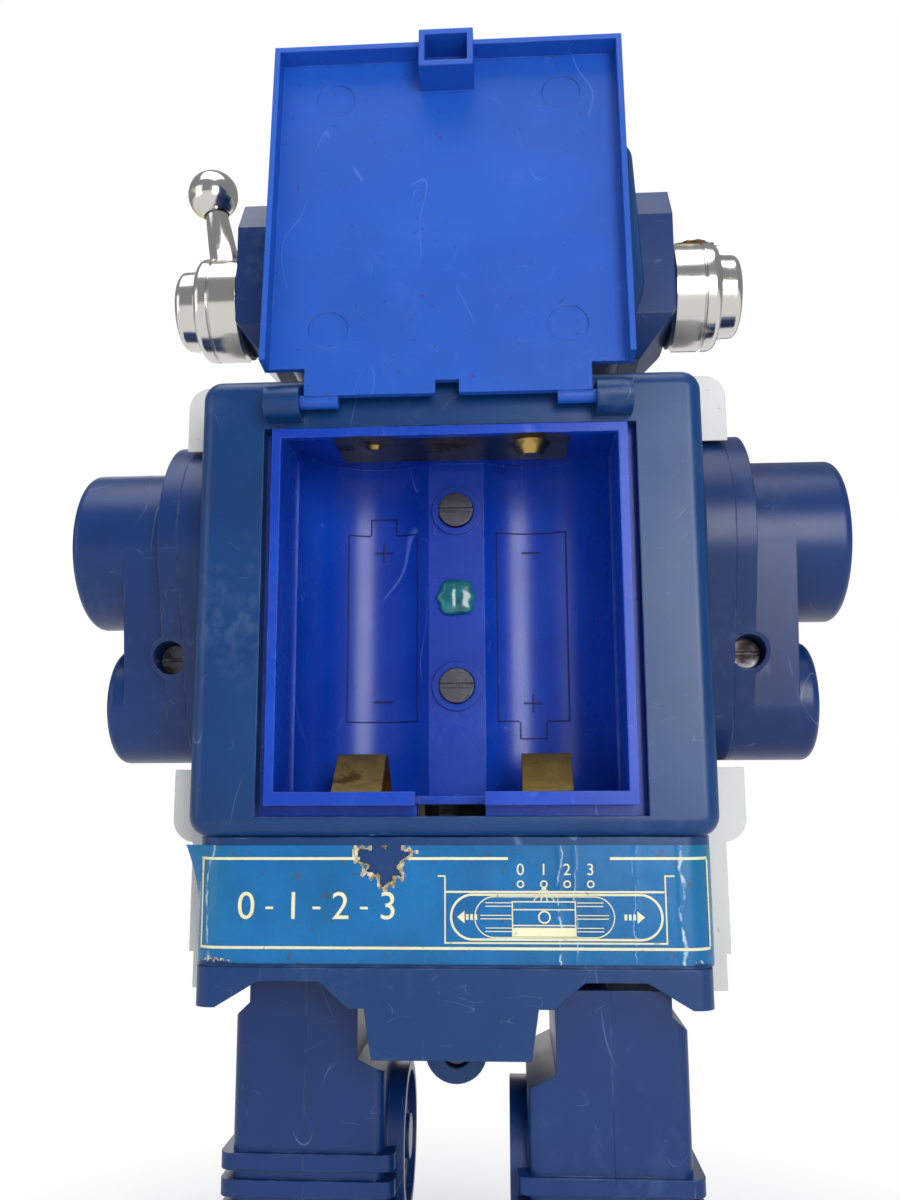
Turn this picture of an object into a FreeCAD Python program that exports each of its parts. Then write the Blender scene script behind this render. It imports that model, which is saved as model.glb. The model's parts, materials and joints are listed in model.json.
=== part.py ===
"""Walking toy robot with a battery bay in its back, built as a parametric FreeCAD document.

Frame: +Z up, the robot faces -Y, its left hand is on +X, and the soles stand on z = 0.
Each sub-part is one labelled object, written to parts/LABEL.step.
"""
import FreeCAD
import Part
import Sketcher
import math
import os
import re

SIZES = {
    # battery bay: two large round cells side by side, open to the rear
    "cell_radius": 17.4, "cell_apart": 35.2, "cell_axis_y": 34.5,
    "bay_half": 35.5, "bay_low": 135.0, "bay_high": 209.0, "bay_end_room": 3.0,
    "rim_back": 52.0, "rim_wall": 2.0, "rim_low_wall": 2.7, "box_floor": 1.9, "box_end_wall": 2.0,
    "ridge_half": 6.5, "flange_edge": 3.5, "flange_thick": 2.4, "groove_deep": 5.0,
    "latch_half": 7.0, "latch_deep": 8.8, "latch_high": 141.5,
    "ridge_screw_high": 200.2, "ridge_screw_low": 158.7, "sealed_screw_z": 179.3,
    "ridge_head_radius": 4.0, "ridge_head_thick": 2.0, "ridge_shank_radius": 1.5,
    "boss_ring_radius": 5.75, "boss_ring_thick": 0.8,
    "strip_half": 26.0, "strip_thick": 0.5, "leaf_wide": 10.5, "leaf_centre": 19.75, "leaf_rise": 8.8,
    # rear and front body shells
    "wall": 2.2, "parting_y": 30.0,
    "rear_half": 53.5, "rear_back": 51.0, "rear_low": 126.0, "rear_top": 223.0,
    "rear_waist_half": 52.0, "rear_waist_back": 49.0, "waist_low": 101.0,
    "rear_skirt_half": 51.0, "rear_skirt_back": 50.5, "skirt_low": 93.5,
    "chest_corner": 4.2, "rear_corner": 6.0, "rear_edge": 3.4, "opening_gap": 1.9,
    "arch_top": 98.5, "arch_in": 20.0, "arch_flat_in": 26.0, "arch_flat_out": 38.0, "arch_out": 46.5,
    "tab_half": 17.0, "tab_low_half": 15.5, "tab_low": 84.0, "tab_thick": 3.0,
    "hip_half": 9.0, "hip_low": 86.0, "hip_boss_z": 81.5, "hip_boss_radius": 6.5, "hip_boss_back": 32.0,
    "hip_boss_length": 10.0, "hip_hole_radius": 3.4, "hip_hole_deep": 4.0,
    "front_half": 62.5, "front_face": -18.0, "front_low": 124.0, "front_top": 229.0,
    "front_waist_half": 58.0, "front_waist_face": -15.0, "front_skirt_half": 57.0,
    "front_skirt_face": -17.0, "front_corner": 5.0,
    "recess_radius": 27.0, "recess_floor": 55.0, "recess_front": -14.6, "recess_low": 139.8, "pivot_boss_radius": 9.0, "pivot_boss_length": 4.8,
    # lid, drawn shut against the rim and then swung open
    "hinge_y": 54.0, "hinge_z": 216.0, "lid_swing": 185.5, "lid_gap": 0.3, "lid_thick": 1.5,
    "lid_wall": 1.25, "lid_wall_deep": 4.5, "lid_half": 39.0, "lid_low": 130.85, "lid_high": 209.0,
    "lid_neck_half": 30.2, "lid_neck_end": 0.7, "notch_half": 2.5, "notch_deep": 3.0,
    "pin_radius": 1.5, "pin_inner": 23.0, "pin_outer": 37.4, "knuckle_radius": 3.5,
    "knuckle_inner": 31.0, "knuckle_outer": 38.5, "hook_half": 6.0, "hook_tall": 9.6, "hook_out": 8.0,
    "hook_wall": 1.3, "ejector_radius": 4.3, "ejector_across": 25.5, "ejector_near": 16.0, "ejector_far": 74.0,
    "ejector_deep": 0.2,
    # walk drive
    "crank_y": 21.5, "crank_z": 112.0, "crank_throw": 5.5, "crank_disc_radius": 9.0, "crank_disc_in": 12.0,
    "crank_disc_thick": 3.0, "crank_pin_radius": 2.4, "crank_pin_end": 30.4, "shaft_radius": 2.0,
    "walk_module": 0.8, "crank_teeth": 36, "small_teeth": 9, "large_teeth": 28, "motor_teeth": 8,
    "idler_back": 17.0, "motor_back": 3.0, "plate_inner": 8.0, "plate_thick": 2.0, "post_radius": 2.0,
    "bush_radius": 3.5, "run_gap": 0.05,
    "motor_radius": 11.0, "motor_length": 28.0, "motor_shaft_radius": 1.0,
    # drill drive
    "drill_module": 1.0, "cross_teeth": 30, "drill_motor_teeth": 9, "drill_motor_y": 3.0,
    "bracket_x": 40.0, "bracket_thick": 2.0, "cross_gear_x": 42.7, "cross_gear_thick": 4.3,
    # arms
    "shoulder_y": 12.0, "shoulder_z": 193.3, "elbow_drop": 38.0, "arm_inner_x": 55.5, "arm_seam": 62.0,
    "drum_radius": 19.2, "drum_end": 89.2, "elbow_radius": 13.7, "elbow_end": 81.2,
    "flange_radius": 25.5, "flange_end": 66.5, "web_end": 76.5, "arm_wall": 1.8, "arm_edge": 2.0,
    "arm_boss_radius": 6.0, "arm_boss_gap": 0.1, "arm_gear_x": 60.0, "arm_gear_thick": 3.4,
    "shoulder_teeth": 24, "idler_teeth": 16, "elbow_teeth": 20, "axle_radius": 1.5,
    "crown_module": 0.75, "crown_teeth": 20, "drill_teeth": 8, "drill_x": 71.5,
    "sleeve_radius": 8.0, "sleeve_front": -12.0, "drill_shaft_radius": 2.5, "drill_collar_radius": 6.5,
    "drill_cone_radius": 5.6, "drill_cone_start": -18.0, "drill_tip_y": -59.0, "drill_tip_radius": 0.6,
    "arm_screw_x": 65.0, "arm_screw_z": 165.0, "arm_screw_hole": 3.75, "arm_screw_seat": 24.0,
    # legs
    "leg_depth": 40.0, "leg_low": 30.0, "leg_top": 96.5, "leg_in": 14.6, "leg_out": 46.0, "leg_seam": 31.0,
    "leg_neck_in": 20.2, "leg_neck_out": 42.9, "outer_notch_low": 88.8, "outer_notch_high": 91.7,
    "inner_notch_low": 78.0, "inner_notch_high": 80.7, "leg_wall": 2.0, "leg_edge": 2.5,
    "link_in": 21.0, "link_half": 6.5,
    "rib_first": 61.0, "rib_pitch": 5.1, "rib_tall": 3.2, "rib_back": 1.0, "rib_side": 2.2, "rib_count": 6,
    "hub_radius": 15.5, "hub_inner": 11.0, "hub_z": 60.0, "hub_rim": 2.0, "hub_recess": 1.6, "hub_cap_radius": 4.5,
    # feet
    "foot_in": 10.5, "foot_out": 54.0, "toe_reach": 45.0, "heel_reach": 30.0, "sole_thick": 3.0,
    "toe_tall": 17.0, "slope_start": 23.0, "foot_edge": 3.0,
    "roller_radius": 9.0, "roller_half": 4.0, "roller_z": 9.2, "roller_forward": 8.0, "roller_room": 1.0,
    "roller_pin_half": 8.0,
    # head
    "head_low": 232.0, "head_jaw": 250.0, "head_top": 285.5, "head_low_half": 38.0, "head_jaw_half": 44.6,
    "head_top_half": 42.5, "head_back": 38.0, "head_parting": 14.0, "head_face": -6.0, "head_corner": 4.0,
    "neck_radius": 20.0, "pad_half": 52.3, "pad_low": 236.0, "pad_high": 279.0, "pad_front": 1.0, "pad_back": 30.0,
    "ear_y": 15.5, "ear_z": 255.0, "ear_radius": 13.0, "ear_drum_end": 64.0, "ear_ring_radius": 10.0,
    "ear_end": 69.5, "antenna_x": 59.0, "antenna_z": 266.5, "antenna_length": 21.0, "antenna_lean": 11.0,
    "antenna_thick": 3.85, "antenna_thin": 2.8, "antenna_ball": 6.5,
    "eye_across": 17.0, "eye_z": 266.0, "eye_radius": 8.0, "eye_out": 2.5,
    "mouth_half": 14.0, "mouth_z": 244.0, "mouth_tall": 9.0, "mouth_bars": 5,
    # front details and the switch
    "panel_half": 34.0, "panel_low": 150.0, "panel_high": 205.0, "panel_thick": 2.0, "dial_radius": 8.0,
    "plate_half": 30.0, "plate_low": 103.0, "plate_high": 122.0, "plate_face": 1.5,
    "slot_half": 14.0, "slot_tall": 3.2, "knob_rest": -3.3, "knob_step": 6.6, "knob_half": 4.5, "knob_out": 4.5,
    "knob_stem": 2.6, "knob_flange": 5.5,
    "label_thick": 0.25, "label_low": 101.6, "label_high": 124.4, "label_half": 50.0,
}

doc = FreeCAD.newDocument("walking_robot")
dims = doc.addObject("Spreadsheet::Sheet", "dims")
for row, (size_name, size_value) in enumerate(SIZES.items(), 1):
    dims.set(f"A{row}", size_name)
    dims.set(f"B{row}", str(size_value))
    dims.setAlias(f"B{row}", size_name)
doc.recompute()

NODES = []
SIDES = {"left": 1, "right": -1}
# turns that stand a local Z axis along each axis of the frame
TURN = {
    "x": FreeCAD.Rotation(FreeCAD.Vector(0, 1, 0), 90),
    "y": FreeCAD.Rotation(FreeCAD.Vector(1, 0, 0), -90),
    "z": FreeCAD.Rotation(),
}
# turns for a flat outline: its normal lies along X (drawn in Y, Z), -Y (drawn in X, Z) or Z (drawn in X, Y)
FACING = {
    "x": FreeCAD.Rotation(FreeCAD.Vector(1, 1, 1), 120),
    "y": FreeCAD.Rotation(FreeCAD.Vector(1, 0, 0), 90),
    "z": FreeCAD.Rotation(),
}


# ---------------------------------------------------------------- helpers
def ex(text):
    """The same formula, with each named size read from its cell of the sheet."""
    return re.sub(r"[A-Za-z_]\w*", lambda word: f"dims.{word[0]}" if word[0] in SIZES else word[0], str(text))


def num(text):
    """The present value of a formula in named sizes."""
    return float(dims.evalExpression(ex(text)))


def bind(piece, prop, text):
    piece.setExpression(prop, ex(text))


def mirror_span(side, low, high):
    """A span along X on the given side: side 1 keeps it, side -1 mirrors it."""
    return (low, high) if side > 0 else (f"-({high})", f"-({low})")


def box(x, y, z):
    piece = doc.addObject("Part::Box", "Block")
    for size, axis, (low, high) in (("Length", "x", x), ("Width", "y", y), ("Height", "z", z)):
        bind(piece, size, f"({high}) - ({low})")
        bind(piece, f"Placement.Base.{axis}", low)
    return piece


def seat(piece, axis, start, centre):
    """Stand a round piece along an axis, from start, on a centre given in the other two axes."""
    piece.Placement = FreeCAD.Placement(FreeCAD.Vector(), TURN[axis])
    bind(piece, f"Placement.Base.{axis}", start)
    for name, place in zip([name for name in "xyz" if name != axis], centre):
        bind(piece, f"Placement.Base.{name}", place)
    return piece


def rod(axis, span, centre, radius):
    piece = doc.addObject("Part::Cylinder", "Rod")
    bind(piece, "Radius", radius)
    bind(piece, "Height", f"({span[1]}) - ({span[0]})")
    return seat(piece, axis, span[0], centre)


def cone(axis, span, centre, first_radius, last_radius):
    piece = doc.addObject("Part::Cone", "Taper")
    bind(piece, "Radius1", first_radius)
    bind(piece, "Radius2", last_radius)
    bind(piece, "Height", f"({span[1]}) - ({span[0]})")
    return seat(piece, axis, span[0], centre)


def ball(centre, radius):
    piece = doc.addObject("Part::Sphere", "Ball")
    bind(piece, "Radius", radius)
    for name, place in zip("xyz", centre):
        bind(piece, f"Placement.Base.{name}", place)
    return piece


def join(*pieces):
    if len(pieces) == 1:
        return pieces[0]
    whole = doc.addObject("Part::MultiFuse", "Joined")
    whole.Shapes = list(pieces)
    return whole


def cut(base, *tools):
    rest = doc.addObject("Part::Cut", "Trimmed")
    rest.Base = base
    rest.Tool = join(*tools)
    return rest


def common(base, tool):
    shared = doc.addObject("Part::Common", "Shared")
    shared.Base = base
    shared.Tool = tool
    return shared


def group(*pieces):
    """Separate solids kept together as one sub-part."""
    holder = doc.addObject("Part::Compound", "Group")
    holder.Links = list(pieces)
    return holder


def along(axis):
    """Picks straight edges that run along one axis."""
    place = "xyz".index(axis)

    def pick(edge):
        if not isinstance(edge.Curve, Part.Line):
            return False
        return abs(abs(edge.Curve.Direction[place]) - 1) < 1e-6
    return pick


def on_plane(axis, text):
    """Picks edges that lie wholly in one plane across an axis."""
    place = "xyz".index(axis)

    def pick(edge):
        level = num(text)
        box_of = edge.BoundBox
        low = (box_of.XMin, box_of.YMin, box_of.ZMin)[place]
        high = (box_of.XMax, box_of.YMax, box_of.ZMax)[place]
        return abs(low - level) < 1e-4 and abs(high - level) < 1e-4
    return pick


def rounded(base, *rules):
    """Fillet the picked edges; each rule is a size name and the edges that take it, first match first."""
    doc.recompute()
    soft = doc.addObject("Part::Fillet", "Rounded")
    soft.Base = base
    edges = []
    for index, edge in enumerate(base.Shape.Edges, 1):
        for radius, pick in rules:
            if pick(edge):
                edges.append((index, num(radius), num(radius)))
                break
    soft.Edges = edges
    return soft


def both(first, second):
    return lambda edge: first(edge) and second(edge)


def draw_outline(drawing, corners):
    """A closed outline with straight sides, each corner held by its two formulas."""
    points = [FreeCAD.Vector(num(across), num(up), 0) for across, up in corners]
    count = len(points)
    for index in range(count):
        drawing.addGeometry(Part.LineSegment(points[index], points[(index + 1) % count]))
    for index in range(count):
        drawing.addConstraint(Sketcher.Constraint("Coincident", index, 2, (index + 1) % count, 1))
    for index, corner in enumerate(corners):
        for kind, level, text in zip(("DistanceX", "DistanceY"), ("Vertical", "Horizontal"), corner):
            if str(text) == "0":
                drawing.addConstraint(Sketcher.Constraint(level, -1, 1, index, 1))
                continue
            number = drawing.addConstraint(Sketcher.Constraint(kind, -1, 1, index, 1, num(text)))
            drawing.setExpression(f"Constraints[{number}]", ex(text))


def draw_circle(drawing, radius):
    number = drawing.addGeometry(Part.Circle(FreeCAD.Vector(), FreeCAD.Vector(0, 0, 1), num(radius)))
    drawing.addConstraint(Sketcher.Constraint("Coincident", number, 3, -1, 1))
    held = drawing.addConstraint(Sketcher.Constraint("Radius", number, num(radius)))
    drawing.setExpression(f"Constraints[{held}]", ex(radius))


def flat_sketch(body, start="0"):
    """A sketch on the body's own XY plane, lifted by start."""
    drawing = body.newObject("Sketcher::SketchObject", "Outline")
    plane = next(item for item in body.Origin.OriginFeatures if item.Role == "XY_Plane")
    drawing.AttachmentSupport = [(plane, "")]
    drawing.MapMode = "FlatFace"
    if start != "0":
        bind(drawing, "AttachmentOffset.Base.z", start)
    return drawing


def pad(body, drawing, length):
    raised = body.newObject("PartDesign::Pad", "Raised")
    raised.Profile = drawing
    bind(raised, "Length", length)
    body.Tip = raised
    return raised


def prism(facing, corners, span):
    """A body padded from an outline. Facing x takes (y, z) corners, y takes (x, z) and z takes (x, y)."""
    body = doc.addObject("PartDesign::Body", "Prism")
    drawing = flat_sketch(body)
    draw_outline(drawing, corners)
    pad(body, drawing, f"({span[1]}) - ({span[0]})")
    body.Placement = FreeCAD.Placement(FreeCAD.Vector(), FACING[facing])
    start = span[1] if facing == "y" else span[0]
    bind(body, f"Placement.Base.{facing}", start)
    return body


def gear(teeth, module, thick, tooth_share=0.40, face=None):
    """A spur gear body on its local Z axis: root disc, one tapered tooth and a polar pattern of it.

    With face set, the teeth stand on the disc's end instead, as on a crown gear, that high.
    """
    body = doc.addObject("PartDesign::Body", "Gear")
    pitch_radius = f"({teeth} * {module} / 2)"
    root = f"({pitch_radius} - 1.15 * {module})"
    tip = f"({pitch_radius} + 0.9 * {module})"
    half_foot = f"({tooth_share} * 1.45 * pi * {module} / 2)"
    half_tip = f"({tooth_share} * 0.60 * pi * {module} / 2)"
    disc = flat_sketch(body)
    draw_circle(disc, tip if face else root)
    pad(body, disc, thick)
    tooth = flat_sketch(body, thick if face else "0")
    inner = f"({pitch_radius} - 1.6 * {module})" if face else f"({root} - 0.5 * {module})"
    ends = [(inner, half_foot), (tip, half_tip)]
    if face:
        ends = [(inner, f"{half_foot} * 0.56"), (tip, f"{half_foot} * 0.56")]
    draw_outline(tooth, [(ends[0][0], f"-{ends[0][1]}"), (ends[1][0], f"-{ends[1][1]}"), ends[1], ends[0]])
    raised = pad(body, tooth, face if face else thick)
    doc.recompute()
    ring = body.newObject("PartDesign::PolarPattern", "Ring")
    ring.Originals = [raised]
    ring.Axis = (tooth, ["N_Axis"])
    ring.Angle = 360
    bind(ring, "Occurrences", teeth)
    body.Tip = ring
    return body


def place_gear(body, start, centre, phase=0.0, side=1):
    """Stand a gear along X with its first tooth turned by phase degrees; side -1 points its end to -X."""
    turn = TURN["x"] if side > 0 else FreeCAD.Rotation(FreeCAD.Vector(0, 1, 0), -90)
    spin = FreeCAD.Rotation(FreeCAD.Vector(0, 0, 1), phase)
    body.Placement = FreeCAD.Placement(FreeCAD.Vector(), turn.multiply(spin))
    for name, place in zip("xyz", (start, *centre)):
        bind(body, f"Placement.Base.{name}", place)
    return body


def tooth_angle(from_centre, to_centre):
    """Angle, in a gear's own turn, of the line towards another gear's centre."""
    across = num(to_centre[0]) - num(from_centre[0])
    up = num(to_centre[1]) - num(from_centre[1])
    return math.degrees(math.atan2(across, -up))


def meshed_phase(teeth, centre, phase, next_teeth, next_centre):
    """Phase of the next gear so that its gap meets this gear's tooth."""
    pitch = 360 / num(teeth)
    next_pitch = 360 / num(next_teeth)
    share = ((tooth_angle(centre, next_centre) - phase) / pitch) % 1
    return tooth_angle(next_centre, centre) + (share + 0.5) * next_pitch


def node(name, piece):
    piece.Label = name
    NODES.append(piece)
    return piece


def hull(side, x_span, upper_radius, lower_radius):
    """Two discs on the shoulder and elbow axes and the flat-sided web that is tangent to both."""
    x = mirror_span(side, *x_span)
    lean = f"((({upper_radius}) - ({lower_radius})) / elbow_drop)"
    cosine = f"sqrt(1 - {lean} * {lean})"
    top = (f"({upper_radius}) * {cosine}", f"{SHOULDER[1]} - ({upper_radius}) * {lean}")
    low = (f"({lower_radius}) * {cosine}", f"{ELBOW[1]} - ({lower_radius}) * {lean}")
    web = prism("x", [(f"shoulder_y - {low[0]}", low[1]), (f"shoulder_y + {low[0]}", low[1]),
                      (f"shoulder_y + {top[0]}", top[1]), (f"shoulder_y - {top[0]}", top[1])], x)
    return join(rod("x", x, SHOULDER, upper_radius), rod("x", x, ELBOW, lower_radius), web)


# ---------------------------------------------------------------- shared places, as formulas
SHOULDER = ("shoulder_y", "shoulder_z")
ELBOW = ("shoulder_y", "(shoulder_z - elbow_drop)")
IDLER = ("shoulder_y", "(shoulder_z - (shoulder_teeth + idler_teeth) * drill_module / 2)")
CRANK = ("crank_y", "crank_z")
CRANK_MESH = "((crank_teeth + small_teeth) * walk_module / 2)"
MOTOR_MESH = "((large_teeth + motor_teeth) * walk_module / 2)"
REDUCTION = ("(crank_y - idler_back)", f"(crank_z + sqrt({CRANK_MESH}^2 - idler_back^2))")
WALK_MOTOR = (f"({REDUCTION[0]} - motor_back)", f"({REDUCTION[1]} + sqrt({MOTOR_MESH}^2 - motor_back^2))")
DRILL_MESH = "((cross_teeth + drill_motor_teeth) * drill_module / 2)"
DRILL_MOTOR = ("drill_motor_y", f"(shoulder_z - sqrt({DRILL_MESH}^2 - (shoulder_y - drill_motor_y)^2))")
BOX_FRONT = "(cell_axis_y - cell_radius - box_floor)"
RIDGE_TOP = "(cell_axis_y - sqrt(cell_radius^2 - (cell_apart / 2 - ridge_half)^2))"
BOX_HIGH = "(bay_high + bay_end_room + box_end_wall)"
BAY_END = "(bay_high + bay_end_room)"
BAY_START = "(bay_low - 1)"
RIM_OUT = "(bay_half + rim_wall)"
OPENING = "(bay_half + rim_wall + opening_gap)"
OPENING_LOW = "(bay_low - rim_low_wall - opening_gap - 0.3)"
OPENING_HIGH = "(bay_high + rim_wall + 0.4)"


def around(text, half):
    """The span that reaches half to each side of a place."""
    return (f"{text} - ({half})", f"{text} + ({half})")


def even(half):
    return (f"-({half})", half)


# ---------------------------------------------------------------- body shells
def make_rear_shell():
    chest = rounded(box(even("rear_half"), ("parting_y", "rear_back"), ("rear_low", "rear_top")),
                    ("chest_corner", along("y")), ("rear_edge", on_plane("y", "rear_back")))
    waist = rounded(box(even("rear_waist_half"), ("parting_y", "rear_waist_back"), ("waist_low", "rear_low")),
                    ("rear_corner", both(along("z"), on_plane("y", "rear_waist_back"))))
    skirt = rounded(box(even("rear_skirt_half"), ("parting_y", "rear_skirt_back"), ("skirt_low", "waist_low")),
                    ("rear_edge", both(along("z"), on_plane("y", "rear_skirt_back"))))
    hollow = [
        box(even("rear_half - wall"), ("parting_y", "rear_back - wall"), ("rear_low + wall", "rear_top - wall")),
        box(even("rear_skirt_half - wall"), ("parting_y", "rear_waist_back - wall"),
            ("waist_low", "rear_low + wall")),
        box(even("rear_skirt_half - wall"), ("parting_y", "rear_skirt_back - wall"), ("skirt_low", "waist_low")),
    ]
    lip = box(even(f"{OPENING} + wall"), ("rim_back - groove_deep", "rear_back - wall"),
              (f"{OPENING_LOW} - wall", f"{OPENING_HIGH} + wall"))
    opening = box(even(OPENING), ("rim_back - groove_deep", "rear_back"), (OPENING_LOW, OPENING_HIGH))
    arches = [prism("y", [(f"{side} * arch_in", "skirt_low"), (f"{side} * arch_flat_in", "arch_top"),
                          (f"{side} * arch_flat_out", "arch_top"), (f"{side} * arch_out", "skirt_low")],
                    ("rear_skirt_back - 2 * wall", "rear_skirt_back")) for side in SIDES.values()]
    tab = prism("y", [("-tab_low_half", "tab_low"), ("tab_low_half", "tab_low"), ("tab_half", "skirt_low"),
                      ("-tab_half", "skirt_low")], ("rear_skirt_back - tab_thick", "rear_skirt_back"))
    tab_root = box(even("tab_half"), ("rear_skirt_back - tab_thick", "rear_skirt_back"),
                   ("skirt_low", "skirt_low + wall"))
    bridge = box(even("hip_half"), ("hip_boss_back - hip_boss_length", "rear_skirt_back - wall"),
                 ("hip_low", "skirt_low"))
    boss = rod("y", ("hip_boss_back - hip_boss_length", "hip_boss_back"), ("0", "hip_boss_z"), "hip_boss_radius")
    boss_hole = rod("y", ("hip_boss_back - hip_hole_deep", "hip_boss_back"), ("0", "hip_boss_z"),
                    "hip_hole_radius")
    thread_hole = rod("y", ("hip_boss_back - hip_boss_length", "hip_boss_back"), ("0", "hip_boss_z"),
                      "axle_radius")
    hollowed = cut(join(chest, waist, skirt), *hollow)
    knuckles = []
    bores = []
    for side in SIDES.values():
        span = mirror_span(side, "knuckle_inner", "knuckle_outer")
        knuckles.append(rod("x", span, ("hinge_y", "hinge_z"), "knuckle_radius"))
        knuckles.append(box(span, ("rear_back - 1", "hinge_y"), around("hinge_z", "knuckle_radius")))
        bores.append(rod("x", mirror_span(side, "knuckle_inner", "pin_outer + 0.4"), ("hinge_y", "hinge_z"),
                         "pin_radius + run_gap"))
    whole = join(hollowed, lip, tab, tab_root, bridge, boss, *knuckles)
    return cut(whole, opening, *arches, boss_hole, thread_hole, *bores)


def make_front_shell():
    chest = rounded(box(even("front_half"), ("front_face", "parting_y"), ("front_low", "front_top")),
                    ("front_corner", along("y")), ("front_corner", on_plane("y", "front_face")))
    waist = rounded(box(even("front_waist_half"), ("front_waist_face", "parting_y"), ("waist_low", "front_low")),
                    ("front_corner", both(along("z"), on_plane("y", "front_waist_face"))))
    skirt = rounded(box(even("front_skirt_half"), ("front_skirt_face", "parting_y"), ("skirt_low", "waist_low")),
                    ("front_corner", both(along("z"), on_plane("y", "front_skirt_face"))))
    room = [
        box(even("front_half - wall"), ("front_face + wall", "parting_y - wall"),
            ("front_low + wall", "front_top - wall")),
        box(even("rear_half - wall"), ("parting_y - wall", "parting_y"), ("front_low + wall", "rear_top - wall")),
        box(even("front_skirt_half - wall"), ("front_waist_face + wall", "parting_y - wall"),
            ("waist_low", "front_low + wall")),
        box(even("rear_skirt_half - wall"), ("parting_y - wall", "parting_y"), ("skirt_low", "front_low + wall")),
        box(even("front_skirt_half - wall"), ("front_skirt_face + wall", "parting_y - wall"),
            ("skirt_low", "waist_low")),
    ]
    hollowed = cut(join(chest, waist, skirt), *room)
    added = []
    taken = []
    for side in SIDES.values():
        cup_span = mirror_span(side, "recess_floor - wall", "front_half - 2")
        recess_span = mirror_span(side, "recess_floor", "front_half + 1")
        limit = box(even("front_half"), ("front_face", "parting_y"), ("front_low", "front_top"))
        added.append(common(rod("x", cup_span, SHOULDER, "recess_radius + wall"), limit))
        added.append(box(cup_span, ("recess_front - wall", "parting_y"), ("recess_low - wall", "shoulder_z")))
        taken.append(box(recess_span, ("recess_front", "parting_y"), ("recess_low", "shoulder_z")))
        added.append(rod("x", mirror_span(side, "recess_floor - wall - pivot_boss_length", "recess_floor"),
                         SHOULDER, "pivot_boss_radius"))
        taken.append(rod("x", recess_span, SHOULDER, "recess_radius"))
        taken.append(rod("x", mirror_span(side, "recess_floor - wall - pivot_boss_length", "recess_floor"),
                         SHOULDER, "arm_boss_radius + arm_boss_gap"))
    bracket = box(("bracket_x", "bracket_x + bracket_thick"), ("front_face + wall", f"{BOX_FRONT} - 1"),
                  around(DRILL_MOTOR[1], "motor_radius + 3"))
    rib = box(even("plate_inner + plate_thick"), ("front_face + wall", f"{WALK_MOTOR[0]} - motor_radius + 1.5"),
              around(WALK_MOTOR[1], "7"))
    hip = box(even("hip_half"), ("front_skirt_face + wall", "hip_boss_back - hip_boss_length - 0.3"),
              ("hip_low", "skirt_low + wall"))
    boss = rod("y", ("front_skirt_face + wall + 4", "hip_boss_back - hip_boss_length - 0.3"),
               ("0", "hip_boss_z"), "hip_boss_radius")
    thread = rod("y", ("hip_boss_back - hip_boss_length - 12", "hip_boss_back - hip_boss_length"),
                 ("0", "hip_boss_z"), "axle_radius")
    taken.append(rod("x", ("bracket_x", "bracket_x + bracket_thick"), DRILL_MOTOR, "motor_shaft_radius + run_gap"))
    taken.append(box(even("slot_half"), ("front_waist_face", "front_waist_face + wall"),
                     around("(plate_low + plate_high) / 2", "slot_tall")))
    taken.append(thread)
    return cut(join(hollowed, *added, bracket, rib, hip, boss), *taken)


def make_battery_box():
    block = box(even(RIM_OUT), (BOX_FRONT, "rim_back"), ("bay_low - rim_low_wall", BOX_HIGH))
    flange = box(even(f"{RIM_OUT} + flange_edge"), ("rim_back - groove_deep - flange_thick",
                                                    "rim_back - groove_deep"),
                 ("bay_low - rim_low_wall - flange_edge", BOX_HIGH))
    cells = [rod("z", (BAY_START, BAY_END), (f"{side} * cell_apart / 2", "cell_axis_y"), "cell_radius")
             for side in SIDES.values()]
    upper = box(even("cell_apart / 2 + cell_radius"), ("cell_axis_y", "rim_back - 2"), (BAY_START, BAY_END))
    mouth = box(even("bay_half"), ("cell_axis_y", "rim_back"), ("bay_low", "bay_high"))
    ridge = box(even("ridge_half"), (RIDGE_TOP, "cell_axis_y + 1"), (BAY_START, BAY_END))
    behind_shell = box(even(RIM_OUT), ("rim_back - groove_deep", "rim_back"),
                       ("bay_high + rim_wall", BOX_HIGH))
    latch = box(even("latch_half"), ("rim_back - latch_deep", "rim_back"),
                ("bay_low - rim_low_wall - flange_edge + 1", "bay_low"))
    hollowed = cut(join(block, flange), *cells, upper, mouth, ridge, behind_shell, latch)
    rings = []
    holes = []
    for height in ("ridge_screw_high", "ridge_screw_low"):
        rings.append(rod("y", (f"{RIDGE_TOP} - 0.5", f"{RIDGE_TOP} + boss_ring_thick"), ("0", height),
                         "boss_ring_radius"))
        holes.append(rod("y", (RIDGE_TOP, f"{RIDGE_TOP} + boss_ring_thick"), ("0", height),
                         "ridge_head_radius + 0.2"))
        holes.append(rod("y", (BOX_FRONT, RIDGE_TOP), ("0", height), "ridge_shank_radius + run_gap"))
    return cut(join(hollowed, *rings), *holes)


def make_contact_strip():
    plate = box(even("strip_half"), (f"{RIDGE_TOP} + 4", "rim_back - groove_deep - 0.2"), (f"{BAY_END} - strip_thick", BAY_END))
    dome = cone("z", (f"{BAY_END} - 3.4", BAY_END), ("-cell_apart / 2", "cell_axis_y + 2"), "2.6", "5")
    bump = cone("z", (f"{BAY_END} - 1.4", BAY_END), ("cell_apart / 2", "cell_axis_y + 2"), "1.4", "2.4")
    return join(plate, dome, bump)


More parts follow.
